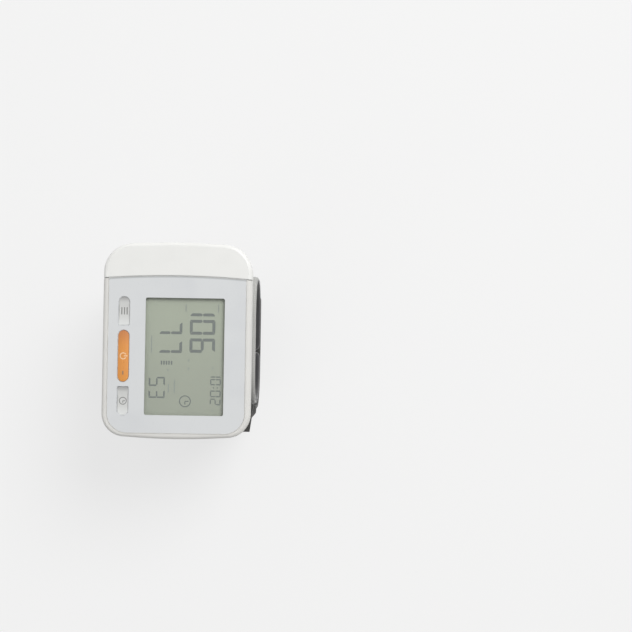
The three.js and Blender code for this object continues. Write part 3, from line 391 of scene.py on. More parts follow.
def moulded(name, colour, roughness=0.46, grain=0.35, depth=0.012, shade=0.975):
    """Moulded plastic: faint cloudy change of tone, spark-eroded grain, and a little uneven gloss."""
    finish = Finish(name, colour, roughness, coat_weight=0.1, coat_roughness=0.3)
    tone = finish.mix(finish.noise(9, detail=3).ramp(0.35, 0.75), colour, toned(colour, shade))
    gloss = roughness - 0.05 + 0.1 * finish.noise(3)
    return finish.surfaced(tone, gloss, finish.noise(grain, detail=4), depth)


def painted_seam_shade(finish):
    """Painted shade, strong on the two edges that meet at the curved seam of the face, fading within half a
    millimetre.
    """
    x, y = finish.axes(finish.place)
    return 0.75 * abs(x - SEAM_X - PAINTED_SHADE_SHIFT - SEAM_BOW * y * y).within(0.5, 0.7)


def cover_shell():
    """The battery cover: whiter and smoother than the shell, with painted shade along its seam."""
    finish = Finish("cover_white", COVER_WHITE, 0.4, coat_weight=0.12, coat_roughness=0.3)
    cloudy = finish.mix(finish.noise(9, detail=3).ramp(0.35, 0.75), COVER_WHITE, COVER_SHADE)
    tone = finish.mix(painted_seam_shade(finish), cloudy, PAINTED_SEAM_SHADE)
    return finish.surfaced(tone, 0.35 + 0.1 * finish.noise(3), finish.noise(0.35, detail=4), 0.01)


def panel_film():
    """Front panel: a hard smooth film, glossier than the shell, with hairline wipe marks and painted shade
    along its seam.
    """
    finish = Finish("panel_film", PANEL_WHITE, 0.28, coat_weight=0.35, coat_roughness=0.12)
    cloudy = finish.mix(finish.noise(18).ramp(0.4, 0.8), PANEL_WHITE, PANEL_SHADE)
    tone = finish.mix(painted_seam_shade(finish), cloudy, PAINTED_SEAM_SHADE)
    gloss = 0.24 + 0.1 * finish.noise(1.6, detail=3, stretch=(1, 9, 1))
    return finish.surfaced(tone, gloss, finish.noise(2.5, detail=1), 0.004)


def lens_clear():
    """Clear window over the display: it lets the light through and keeps a soft shine."""
    finish = Finish("lens_clear", LENS_TINT, 0.08, specular_ior_level=0.6)
    finish.set("Alpha", 0.07 + 0.02 * finish.noise(12))
    finish.set("Roughness", 0.06 + 0.05 * finish.noise(4))
    return finish.material


def display_ground():
    """The unlit display: sage grey, a little browner towards its foot, with a fine cell grid."""
    finish = Finish("display_ground", DISPLAY_SAGE, 0.34, coat_weight=0.3)
    x, y = finish.axes(finish.place)
    warm = (x - WINDOW_X + 4).ramp(-24, 28) * 0.75 + 0.25 * finish.noise(8)
    ground = finish.mix(warm, DISPLAY_SAGE, DISPLAY_WARM)
    tone = finish.mix(0.05 * (abs(x.wave(0.5)) | abs(y.wave(0.5))), ground, DISPLAY_GRID)
    return finish.surfaced(tone, 0.34, finish.noise(0.4), 0.004)


def display_ink(name, colour):
    finish = Finish(name, colour, 0.5)
    cloud = finish.noise(2.5)
    finish.set("Base Color", finish.mix(cloud, colour, toned(colour, 1.12)))
    finish.set("Roughness", 0.45 + 0.1 * cloud)
    return finish.material


# Printed signs on the buttons: half sizes and places from each button's middle, in millimetres
POWER_RADIUS = 1.25
POWER_LINE = 0.2
POWER_OPENING = 0.62
POWER_STROKE_PLACE = 1.05
POWER_STROKE_HALF = 0.72
MARK_PLACE = 7
MARK_HALF = (0.8, 0.28)
LIST_PLACES = (-1.1, 0, 1.1)
LIST_HALF = (1.5, 0.22)
DIAL_RADIUS = 1.45
DIAL_LINE = 0.17
HAND_LINE = 0.16
HOUR_PLACE = 0.45
HOUR_HALF = 0.5
MINUTE_PLACE = 0.38
MINUTE_HALF = 0.45
# Side buttons: how far the painted shade reaches from the near end of the hollow, and the painted light from
# its far end
PAINTED_SHADE_REACH = 2.1
PAINTED_LIGHT_REACH = 3.2


def away(x, y):
    return (x**2 + y**2) ** 0.5


def start_orange():
    """Start button: satin orange, with painted shade, pinker and darker, at one end, and a printed power sign
    and a small mark.
    """
    finish = Finish("start_orange", ORANGE, 0.38, coat_weight=0.2, coat_roughness=0.25)
    x, y = finish.around("start_button")
    cloudy = finish.mix(0.3 * finish.noise(5), ORANGE, ORANGE_GOLD)
    golden = finish.mix(0.5 * x.ramp(5, 11), cloudy, ORANGE_GOLD)
    # Painted shade: pinker and darker towards the near end of the button's slot
    ground = finish.mix(0.9 * (-1 * x).ramp(3, 11), golden, PAINTED_ORANGE_SHADE)
    slot_open = abs(x).within(POWER_OPENING, 0.12) & y.beyond(0, 0.12)
    ring = abs(away(x, y) - POWER_RADIUS).within(POWER_LINE, 0.14) & (1 - slot_open)
    upright = abs(y - POWER_STROKE_PLACE).within(POWER_STROKE_HALF, 0.12)
    stroke = abs(x).within(POWER_LINE, 0.14) & upright
    mark = abs(x - MARK_PLACE).within(MARK_HALF[0], 0.2) & abs(y).within(MARK_HALF[1], 0.14)
    tone = finish.mix(mark * 0.7, finish.mix(ring | stroke, ground, PEACH), MARK_GREY)
    return finish.surfaced(tone, 0.33 + 0.1 * finish.noise(3), finish.noise(0.4, detail=3), 0.01)


def side_button(name, node, sign):
    """A pale grey side button, with painted shade where its hollow begins, painted light at its far end, and
    a small printed sign.
    """
    finish = Finish(name, BUTTON_GREY, 0.42, coat_weight=0.15, coat_roughness=0.3)
    x, y = finish.around(node)
    half = (high(node, 0) - low(node, 0)) / 2
    cloudy = finish.mix(0.4 * finish.noise(6), BUTTON_GREY, BUTTON_SHADE)
    # Painted shade at the near end of the hollow, then painted light at its far end
    with_painted_shade = finish.mix(0.8 * (x + half).within(PAINTED_SHADE_REACH, 2.4), cloudy, PAINTED_SCOOP_SHADE)
    ground = finish.mix(0.6 * (x - half).beyond(-PAINTED_LIGHT_REACH, 3.2), with_painted_shade, PAINTED_SCOOP_LIGHT)
    tone = finish.mix(sign(x, y) * 0.85, ground, MARK_GREY)
    return finish.surfaced(tone, 0.38 + 0.1 * finish.noise(3), finish.noise(0.4, detail=3), 0.01)


def list_sign(x, y):
    """Three short lines, for the stored readings."""
    rows = [abs(y - place).within(LIST_HALF[1], 0.12) for place in LIST_PLACES]
    return (rows[0] | rows[1] | rows[2]) & abs(x).within(LIST_HALF[0], 0.14)


def clock_sign(x, y):
    """A ring with two hands, for setting the time."""
    ring = abs(away(x, y) - DIAL_RADIUS).within(DIAL_LINE, 0.12)
    hour = abs(x).within(HAND_LINE, 0.1) & abs(y - HOUR_PLACE).within(HOUR_HALF, 0.1)
    minute = abs(y).within(HAND_LINE, 0.1) & abs(x - MINUTE_PLACE).within(MINUTE_HALF, 0.1)
    return ring | hour | minute


# Finishes of the metals, the boards and the inner parts
def metal(name, colour, roughness=0.3, brushed=None):
    """Bare metal, a little duller and darker in fine streaks."""
    finish = Finish(name, colour, roughness, metallic=1.0)
    streak = finish.noise(0.8, detail=3, stretch=brushed)
    tone = finish.mix(streak.ramp(0.3, 0.8), colour, toned(colour, 0.82))
    return finish.surfaced(tone, roughness - 0.08 + 0.16 * streak, streak, 0.006)


def circuit_green():
    """Solder mask over copper tracks, with tinned pads."""
    finish = Finish("circuit_green", BOARD_GREEN, 0.35, coat_weight=0.4, coat_roughness=0.15)
    x, y = finish.axes(finish.place)
    wander = 1.6 * finish.noise(7, detail=1)
    tracks = abs((x + wander).wave(2.4)).beyond(0.82, 0.1) & finish.noise(14).beyond(0.48, 0.04)
    crossing = abs((y + wander).wave(3.1)).beyond(0.86, 0.1) & finish.noise(11).beyond(0.52, 0.04)
    pads = abs(x.wave(5.2)).beyond(0.965, 0.02) & abs(y.wave(5.2)).beyond(0.965, 0.02)
    finish.set("Metallic", pads * 0.9)
    tone = finish.mix(pads, finish.mix(tracks | crossing, BOARD_GREEN, BOARD_TRACE), SOLDER)
    return finish.surfaced(tone, 0.35, tracks | crossing | pads, 0.02)


def cell_jacket(node):
    """A dry cell: a plain printed sleeve with a pale band at its plus end, and bare metal at the poles."""
    finish = Finish(node + "_jacket", CELL_BLUE, 0.3, coat_weight=0.3)
    x, y = finish.axes(finish.place)
    side = 1 if high(node, 1) > -low(node, 1) else -1
    plus_end = max(high(node, 1), -low(node, 1))
    minus_end = min(high(node, 1), -low(node, 1))
    along = side * y
    band = along.beyond(plus_end - CELL_BAND_LENGTH, 0.2)
    plus = along.beyond(plus_end - CELL_PLUS_LENGTH, 0.2)
    pole = plus | (-1 * along).beyond(minus_end - CELL_MINUS_LENGTH, 0.2)
    seam = 0.3 * abs(x - CELL_X).within(CELL_SEAM_HALF, 0.1)
    sleeve = finish.mix(seam, finish.mix(band, CELL_BLUE, CELL_BAND), BLACK_PLASTIC)
    finish.set("Metallic", pole | 0.25 * (1 - band))
    return finish.surfaced(finish.mix(pole, sleeve, NICKEL), 0.26 + 0.12 * finish.noise(3), pole, 0.08)


def milky_rubber():
    finish = Finish("milky_rubber", RUBBER_MILK, 0.42, subsurface_weight=0.15, subsurface_scale=0.002)
    cloud = finish.noise(3, detail=3)
    tone = finish.mix(cloud, RUBBER_MILK, RUBBER_SHADE)
    return finish.surfaced(tone, 0.38 + 0.14 * cloud, finish.noise(0.6), 0.02)


# Finishes of the cloths, whose weave follows the piece's own map
KNIT_WALE = 0.7
KNIT_COURSE = 0.9


def knitted(name, light, dark):
    """A fine knit: rows of small loops, leaning to and fro, with fluff and soft change of tone."""
    finish = Finish(name, light, 0.86, sheen_weight=0.4, sheen_roughness=0.5)
    along, across = finish.axes(finish.cloth)
    drift = 0.25 * finish.noise(1.5, finish.cloth, detail=3)
    wales = abs((across + drift).wave(2 * KNIT_WALE))
    courses = abs((along + drift + 0.25 * across.wave(KNIT_WALE)).wave(2 * KNIT_COURSE))
    loops = wales * courses
    fluff = finish.noise(0.25, finish.cloth, detail=4)
    shade = (0.75 * (1 - loops) + 0.4 * fluff) * (0.75 + 0.5 * finish.noise(14, detail=3))
    tone = finish.mix(shade.ramp(0.15, 1.05), light, dark)
    return finish.surfaced(tone, 0.8 + 0.15 * fluff, loops * 0.7 + 0.5 * fluff, 0.09)


def woven(name, light, dark, rib=0.5, pick=0.35, depth=0.06):
    """Webbing: ribs that run along it, crossed by fine picks, a little worn on the crowns."""
    finish = Finish(name, light, 0.78, sheen_weight=0.25, sheen_roughness=0.4)
    along, across = finish.axes(finish.cloth)
    crown = abs(across.wave(2 * rib))
    picks = abs((along + 0.5 * across.wave(2 * rib)).wave(2 * pick))
    fibre = finish.noise(0.2, finish.cloth, detail=4, stretch=(0.3, 1, 1))
    body = 0.6 * crown + 0.25 * picks + 0.25 * fibre
    worn = finish.noise(9, detail=4).ramp(0.5, 0.8) * crown
    tone = finish.mix(body.ramp(0.2, 1.0) * 0.7 + 0.3 * worn, dark, light)
    return finish.surfaced(tone, 0.82 - 0.12 * crown, body, depth)


def brushed_pile(name, light, dark, depth=0.16):
    """A napped pile, as the soft side of a fastener and the lining have."""
    finish = Finish(name, light, 0.95, sheen_weight=0.6, sheen_roughness=0.6)
    tufts = finish.noise(0.32, finish.cloth, detail=5)
    brushed = finish.noise(5, finish.cloth, detail=3, stretch=(0.4, 1, 1))
    tone = finish.mix((0.7 * tufts + 0.5 * brushed).ramp(0.35, 0.85), dark, light)
    return finish.surfaced(tone, 0.9 + 0.08 * tufts, tufts, depth)


def hook_field():
    """Moulded hooks in close rows."""
    finish = Finish("hook_field", STRAP_DARK, 0.5)
    along, across = finish.axes(finish.cloth)
    hooks = (abs(across.wave(1.7)) * abs((along + 0.4 * across.wave(3.4)).wave(1.3))).ramp(0.3, 0.8)
    tone = finish.mix(hooks, BLACK_PLASTIC, STRAP_LIGHT)
    return finish.surfaced(tone, 0.42 + 0.2 * finish.noise(0.8), hooks, 0.25)


def thread(name, colour):
    """Sewing thread, with a fine twist."""
    finish = Finish(name, colour, 0.7, sheen_weight=0.3)
    x, y, z = finish.axes(finish.place, 3)
    twist = abs((x + y + z).wave(0.5))
    return finish.surfaced(finish.mix(twist, toned(colour, 0.6), colour), 0.7, twist, 0.03)


shell_white = moulded("shell_white", SHELL_WHITE)
cover_white = cover_shell()
inner_white = moulded("inner_white", INNER_GREY, roughness=0.55, depth=0.02)
dark_plastic = moulded("dark_plastic", DARK_PLASTIC, roughness=0.5, depth=0.025, shade=0.8)
black_plastic = moulded("black_plastic", BLACK_PLASTIC, roughness=0.42, depth=0.015, shade=0.75)
tab_rubber = moulded("tab_rubber", STRAP_DARK, roughness=0.6, grain=0.6, depth=0.03, shade=0.8)
panel_white = panel_film()
clear_lens = lens_clear()
sage_display = display_ground()
digit_ink = display_ink("digit_ink", DIGIT_INK)
faint_ink = display_ink("faint_ink", FAINT_INK)
button_seal = moulded("button_seal", PANEL_WHITE, roughness=0.5)
orange_button = start_orange()
memory_grey = side_button("memory_grey", "memory_button", list_sign)
set_grey = side_button("set_grey", "set_button", clock_sign)
plain_steel = metal("plain_steel", STEEL, brushed=(1, 6, 1))
nickel_strip = metal("nickel_strip", NICKEL, roughness=0.26)
copper_winding = metal("copper_winding", COPPER, roughness=0.35, brushed=(8, 1, 1))
green_board = circuit_green()
hose_rubber = milky_rubber()
sleeve_knit = knitted("sleeve_knit", SLEEVE_GREY, SLEEVE_SHADE)
lining_pile = brushed_pile("lining_pile", LINING_LIGHT, LINING_DARK)
binding_tape = woven("binding_tape", SLEEVE_GREY, BINDING_GREY, rib=0.3, pick=0.3, depth=0.04)
bladder_film = moulded("bladder_film", RUBBER_MILK, roughness=0.35, depth=0.02)
strap_webbing = woven("strap_webbing", STRAP_LIGHT, STRAP_DARK)
strap_edging = woven("strap_edging", STRAP_DARK, LINING_DARK, rib=0.3, pick=0.3, depth=0.04)
loop_pile = brushed_pile("loop_pile", STRAP_LIGHT, STRAP_DARK, depth=0.22)
hook_tape = hook_field()
sleeve_thread = thread("sleeve_thread", THREAD_GREY)
strap_thread = thread("strap_thread", THREAD_DARK)


# Pieces from meshes
def into_mesh(shape, name, *finishes):
    mesh = bpy.data.meshes.new(name)
    shape.to_mesh(mesh)
    shape.free()
    for finish in finishes:
        mesh.materials.append(finish)
    return mesh


def closed_mesh(shape, name, *finishes):
    """The mesh of a closed shape, with its faces turned outwards."""
    bmesh.ops.recalc_face_normals(shape, faces=shape.faces)
    if shape.calc_volume(signed=True) < 0:
        bmesh.ops.reverse_faces(shape, faces=shape.faces)
    return into_mesh(shape, name, *finishes)


def add_piece(name, mesh, body, replaces=()):
    piece = put(name, mesh)
    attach(piece, body)
    if replaces:
        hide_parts(*replaces)
    return piece


def welded(node):
    """A node's own shape, with its faces joined along their edges."""
    shape = bmesh.new()
    shape.from_mesh(nodes[node].data)
    bmesh.ops.remove_doubles(shape, verts=shape.verts, dist=WELD)
    return shape


def dressed(node, finish):
    """A copy of a node's shape with smooth rounds, flat faces and softened edges, in its finish."""
    shape = welded(node)
    bmesh.ops.dissolve_limit(shape, angle_limit=FLAT_ANGLE, verts=shape.verts, edges=shape.edges)
    for face in shape.faces:
        face.smooth = True
    for edge in shape.edges:
        edge.smooth = edge.calc_face_angle(0) < SHARP_ANGLE
    name = node + "_dressed"
    piece = add_piece(name, into_mesh(shape, name, finish), body_of(nodes[node])[0], [node])
    if node in SOFTENED:
        softened = piece.modifiers.new("softened", "BEVEL")
        softened.width = SOFTENED[node] * MM
        softened.segments = SOFTENED_STEPS
        softened.limit_method = "ANGLE"
        softened.angle_limit = SHARP_ANGLE
    normals = piece.modifiers.new("flat_faces", "WEIGHTED_NORMAL")
    normals.keep_sharp = True
    normals.weight = FLAT_WEIGHT
    return piece


def box_prism(shape, corners, bottom, top):
    """A flat prism over an outline of corner points, added to a bmesh."""
    lower = [shape.verts.new(Vector((x, y, bottom)) * MM) for x, y in corners]
    upper = [shape.verts.new(Vector((x, y, top)) * MM) for x, y in corners]
    shape.faces.new(upper)
    shape.faces.new(list(reversed(lower)))
    for i in range(len(corners)):
        after = (i + 1) % len(corners)
        shape.faces.new([lower[i], lower[after], upper[after], upper[i]])


def round_point(x, y, radius, turn):
    return (x + radius * math.cos(turn), y + radius * math.sin(turn))


# Display: digits of straight bars and small signs, as thin ink on the glass
SEGMENTS = {"0": "abcdef", "1": "bc", "2": "abged", "3": "abgcd", "5": "afgcd", "6": "afgedc", "7": "abc"}
GLASS_TOP = high("display_glass", 2)
FILM_GAP = 0.15
FILM_TOP = low("display_lens", 2) - FILM_GAP
FILM_INSET = 1.5
FILM_RADIUS = 1.2
FILM_CORNER_STEPS = 5
INK_LIFT = 0.02
INK_DEPTH = 0.04
BAR_GAP = 0.14
BLUNT_SHARE = 0.25
RING_STEPS = 20


def digit_bars(left, right, foot, top, stroke):
    """The seven bars of a digit, as outlines in the window's own frame."""
    middle = (foot + top) / 2
    half = stroke / 2

    def flip(points, across, down):
        turned = [(left + right - x if across else x, foot + top - y if down else y) for x, y in points]
        return turned if across == down else turned[::-1]

    blunt = BLUNT_SHARE * stroke
    side = [
        (left, top - BAR_GAP - blunt),
        (left, middle + BAR_GAP + blunt),
        (left + blunt, middle + BAR_GAP),
        (left + stroke - blunt, middle + BAR_GAP),
        (left + stroke, middle + BAR_GAP + half),
        (left + stroke, top - BAR_GAP - stroke + blunt),
        (left + blunt, top - BAR_GAP),
    ]
    level = [
        (left + BAR_GAP + blunt, top),
        (left + BAR_GAP + stroke, top - stroke),
        (right - BAR_GAP - stroke, top - stroke),
        (right - BAR_GAP - blunt, top),
    ]
    centre = [
        (left + half + BAR_GAP, middle),
        (left + stroke + BAR_GAP, middle - half),
        (right - stroke - BAR_GAP, middle - half),
        (right - half - BAR_GAP, middle),
        (right - stroke - BAR_GAP, middle + half),
        (left + stroke + BAR_GAP, middle + half),
    ]
    return {
        "a": level,
        "b": flip(side, True, False),
        "c": flip(side, True, True),
        "d": flip(level, False, True),
        "e": flip(side, False, True),
        "f": side,
        "g": centre,
    }


def plain_bar(left, right, foot, top):
    return [(left, foot), (right, foot), (right, top), (left, top)]


def ring_bars(x, y, radius, stroke):
    """A ring as a chain of short bars."""
    bars = []
    for i in range(RING_STEPS):
        ends = [2 * math.pi * (i + step) / RING_STEPS for step in (0, 1)]
        outer = [round_point(x, y, radius, turn) for turn in ends]
        inner = [round_point(x, y, radius - stroke, turn) for turn in ends]
        bars.append([inner[0], outer[0], outer[1], inner[1]])
    return bars


# Each reading: its digits with their left and right edges, then foot, top and stroke, from the middle
READINGS = [
    ([("1", -20.6, -17.0), ("0", -15.5, -9.3), ("6", -7.7, -1.7)], 1.8, 12.5, 1.25),
    ([("7", -14.7, -9.35), ("7", -6.9, -1.5)], -11.0, -1.3, 1.15),
    ([("5", 8.6, 12.5), ("3", 14.0, 17.5)], -15.0, -8.2, 0.68),
    ([("1", 6.6, 8.6), ("0", 9.2, 11.8), ("0", 14.0, 16.8), ("2", 17.4, 20.15)], 10.7, 15.2, 0.5),
]
CLOCK_SIGN = (18.7, 0.3, 2.5, 0.42)
MINUTE_HAND = 1.5
HOUR_HAND = 1.3
HAND_HALF = 0.2
LEVEL_BARS = [plain_bar(1.85, 3.45, foot, foot + 0.62) for foot in (-10.1, -9.05, -8.0, -6.95, -5.9)]
COLON = [plain_bar(12.65, 13.15, foot, foot + 0.5) for foot in (11.9, 13.5)]
SMALL_BARS = [
    (-22.0, -18.7, 13.45, 13.95),
    (-22.0, -18.8, -0.15, 0.35),
    (-8.6, -1.5, -14.35, -13.85),
    (11.5, 15.0, -6.95, -6.45),
    (9.8, 15.3, -4.45, -3.95),
    (5.3, 6.1, -7.4, -6.8),
    (4.1, 4.9, 11.4, 12.0),
    (22.1, 22.9, 11.5, 12.1),
    (0.9, 2.1, 1.35, 1.85),
    (4.4, 5.6, 1.35, 1.85),
]


def ink_piece(name, outlines, finish):
    shape = bmesh.new()
    bottom = FILM_TOP + INK_LIFT
    for outline in outlines:
        corners = [(WINDOW_X + x, WINDOW_Y + y) for x, y in outline]
        box_prism(shape, corners, bottom, bottom + INK_DEPTH)
    add_piece(name, closed_mesh(shape, name, finish), "monitor")


def rounded_outline(left, right, foot, top, radius, steps):
    """A rectangle with round corners, as points in millimetres."""
    corners = [
        (right - radius, top - radius, 0),
        (left + radius, top - radius, 90),
        (left + radius, foot + radius, 180),
        (right - radius, foot + radius, 270),
    ]
    outline = []
    for x, y, start in corners:
        turns = [math.radians(start + 90 * i / steps) for i in range(steps + 1)]
        outline += [round_point(x, y, radius, turn) for turn in turns]
    return outline


def display_film():
    """The polarising film on the display glass, which fills the opening under the lens."""
    shape = bmesh.new()
    half_length = (high("display_lens", 0) - low("display_lens", 0)) / 2 - FILM_INSET
    half_width = (high("display_lens", 1) - low("display_lens", 1)) / 2 - FILM_INSET
    sides = (WINDOW_X - half_length, WINDOW_X + half_length, WINDOW_Y - half_width, WINDOW_Y + half_width)
    outline = rounded_outline(*sides, FILM_RADIUS, FILM_CORNER_STEPS)
    box_prism(shape, outline, GLASS_TOP + INK_LIFT, FILM_TOP)
    add_piece("display_film", closed_mesh(shape, "display_film", sage_display), "monitor")


def display_reading():
    """The digits and signs of a reading, in strong ink, and the captions beside them in faint ink."""
    strong = []
    for digits, foot, top, stroke in READINGS:
        for digit, left, right in digits:
            bars = digit_bars(left, right, foot, top, stroke)
            strong += [bars[bar] for bar in SEGMENTS[digit]]
    x, y, radius, stroke = CLOCK_SIGN
    strong += COLON + LEVEL_BARS + ring_bars(x, y, radius, stroke)
    strong.append(plain_bar(x - HAND_HALF, x + HAND_HALF, y, y + MINUTE_HAND))
    strong.append(plain_bar(x, x + HOUR_HAND, y - HAND_HALF, y + HAND_HALF))
    ink_piece("display_digits", strong, digit_ink)
    ink_piece("display_small_signs", [plain_bar(*sides) for sides in SMALL_BARS], faint_ink)


# Beads: narrow seals in the gaps round the front panel and the buttons
BEAD_START = 0.02
BEAD_WIDTH = 0.25
BEAD_DEPTH = 0.4
BEAD_SLOPES = (0.05, 0.03)
PANEL_BEAD_DROP = 0.05
BUTTON_BEAD_DROP = 0.3
SHARPEST_LEAN = 0.5


def rim_loops(node):
    """The closed edges of a plate's top face: its outline and its openings, each as points in order."""
    shape = welded(node)
    level = high(node, 2) * MM
    after = {}
    for edge in shape.edges:
        flat = [all(abs(vert.co.z - level) < WELD for vert in face.verts) for face in edge.link_faces]
        if sorted(flat) == [False, True]:
            top_face = edge.link_faces[flat.index(True)]
            for loop in top_face.loops:
                if loop.edge == edge:
                    after[loop.vert.index] = loop.link_loop_next.vert.index
    points = {vert.index: (vert.co.x / MM, vert.co.y / MM) for vert in shape.verts}
    shape.free()
    loops = []
    while after:
        start, step = after.popitem()
        loop = [points[start]]
        while step in after:
            loop.append(points[step])
            step = after.pop(step)
        loops.append(loop)
    return loops


def breadth(loop):
    return max(x for x, y in loop) - min(x for x, y in loop)


def bead_section(loop, i, top):
    """The corners of a bead's section at one point of an edge, on the side away from the plate."""
    before, here, after = (Vector(loop[(i + step) % len(loop)]) for step in (-1, 0, 1))
    ways = [(here - before).normalized(), (after - here).normalized()]
    way = (ways[0] + ways[1]).normalized()
    out = Vector((way.y, -way.x)) / max(SHARPEST_LEAN, way.dot(ways[0]))
    spots = [
        (BEAD_START, top - BEAD_DEPTH),
        (BEAD_WIDTH, top - BEAD_DEPTH),
        (BEAD_WIDTH, top - BEAD_SLOPES[0]),
        (BEAD_WIDTH / 2, top),
        (BEAD_START, top - BEAD_SLOPES[1]),
    ]
    return [Vector((here.x + out.x * reach, here.y + out.y * reach, z)) * MM for reach, z in spots]


def tube_face(shape, ring, after, k):
    """The face between two rings of points, from point k to the next one."""
    following = (k + 1) % len(ring)
    face = shape.faces.new([ring[k], after[k], after[following], ring[following]])
    face.smooth = True
    return face


def bead(name, loop, drop, finish):
    """A seal all along an edge."""
    shape = bmesh.new()
    top = high("front_panel", 2) - drop
    sections = [bead_section(loop, i, top) for i in range(len(loop))]
    rings = [[shape.verts.new(corner) for corner in corners] for corners in sections]
    for ring, after in zip(rings, [*rings[1:], rings[0]]):
        for k in range(len(ring)):
            tube_face(shape, ring, after, k)
    add_piece(name, closed_mesh(shape, name, finish), "monitor")


def panel_beads():
    """A seal round the panel, whose edge is the broadest loop, and one round each button's opening."""
    loops = sorted(rim_loops("front_panel"), key=breadth)
    bead("panel_bead", loops[-1], PANEL_BEAD_DROP, shell_white)
    for number, loop in enumerate(loops[:-2], 1):
        bead(f"button_bead_{number}", loop, BUTTON_BEAD_DROP, button_seal)


# Runs: lines in the plane across the wrist, along which the cuff and the strap are laid
STEP = 0.8
SAME_POINT = 1e-4
ARC_STEPS = 24
LAYER_GAP = 0.3
TAPE_DEPTH = 0.6
LINING_DEPTH = 0.7
CUFF_SIDE = high("cuff_lining", 0) - LINING_DEPTH
CUFF_TOP = high("cuff_lining", 2) - LINING_DEPTH
CUFF_FOOT = low("cuff_lining", 2) + LINING_DEPTH
CUFF_THICKNESS = high("cuff_sleeve", 0) - CUFF_SIDE
BINDING_ROOM = 0.25
CUFF_HALF = high("cuff_sleeve", 1) - BINDING_ROOM
CUFF_MIDDLE = (CUFF_TOP + CUFF_FOOT) / 2
UPPER_RADIUS = 17
LOWER_RADIUS = 13
FREE_END = high("loop_pad", 0) + LAYER_GAP
OPENING_CENTRE = Vector((0, CUFF_MIDDLE))
LOWER_CENTRE = Vector((CUFF_SIDE - LOWER_RADIUS, CUFF_FOOT + LOWER_RADIUS))
UPPER_CENTRE = Vector((CUFF_SIDE - UPPER_RADIUS, CUFF_TOP - UPPER_RADIUS))


def arc(centre, radius, start, end, mirrored=False):
    """Points on an arc in the plane of X and Z, its angles in degrees from +X."""
    x = -centre.x if mirrored else centre.x
    turns = [math.radians(start + (end - start) * i / ARC_STEPS) for i in range(ARC_STEPS + 1)]
    return [Vector(round_point(x, centre.y, radius, turn)) for turn in turns]


def length_of(line):
    return sum((b - a).length for a, b in zip(line, line[1:]))


def walk(line, distance):
    """The point at a distance along a line of points."""
    for a, b in zip(line, line[1:]):
        step = (b - a).length
        if distance <= step:
            return a.lerp(b, distance / step)
        distance -= step
    return line[-1].copy()


def clamped(value):
    return min(max(value, 0), 1)


class Run:
    """A smooth line through points, measured along its length, with the way that faces outwards."""

    def __init__(self, points, rounds=0):
        line = [points[0]]
        for point in points[1:]:
            if (point - line[-1]).length > SAME_POINT:
                line.append(point)
        whole = length_of(line)
        count = round(whole / STEP)
        spots = [walk(line, whole * i / count) for i in range(count + 1)]
        for _ in range(rounds):
            smooth = [(a + 2 * b + c) / 4 for a, b, c in zip(spots, spots[1:], spots[2:])]
            spots = [spots[0], *smooth, spots[-1]]
        self.spots = spots
        self.length = length_of(spots)
        before = [spots[0], *spots]
        after = [*spots[1:], spots[-1] * 2 - spots[-2]]
        ways = [(b - a).normalized() for a, b in zip(before, after)]
        turned = [Vector((way.y, -way.x)) for way in ways]
        facing = sum(out.dot(spot - OPENING_CENTRE) for out, spot in zip(turned, spots))
        self.outs = [out if facing > 0 else -out for out in turned]

    def at(self, along):
        """The point and the outward way at a distance along the run."""
        share = clamped(along / self.length) * (len(self.spots) - 1)
        i = min(int(share), len(self.spots) - 2)
        spot = self.spots[i].lerp(self.spots[i + 1], share - i)
        out = self.outs[i].lerp(self.outs[i + 1], share - i).normalized()
        return spot, out

    def point(self, along, across, lift):
        spot, out = self.at(along)
        return Vector((spot.x + out.x * lift, across, spot.y + out.y * lift)) * MM


# Bands: padded and flat cloth, closed all round, laid along a run
EDGE_ANGLES = (0, 25, 45, 65)
OUTLINE_POINTS = 320
SMALLEST_CORNER = 0.2
CORNER_STEPS = 6
CLOTH_PITCH = 1.1
CROWN_REACH = 11
CHANNEL_INSET = 6.5
CHANNEL_WIDTH = 0.75
SAME_VERTEX = 0.004 * MM
SHORTEST_EDGE = 0.002 * MM


def eased(share):
    share = clamped(share)
    return share * share * (3 - 2 * share)


def spread(length, rim, pitch):
    """Places from 0 to length, close together near both ends, where an edge is round."""
    near = [rim * (1 - math.cos(math.radians(angle))) for angle in EDGE_ANGLES]
    count = round((length - 2 * rim) / pitch)
    inner = [rim + (length - 2 * rim) * i / count for i in range(count + 1)]
    return near + inner + [length - place for place in reversed(near)]


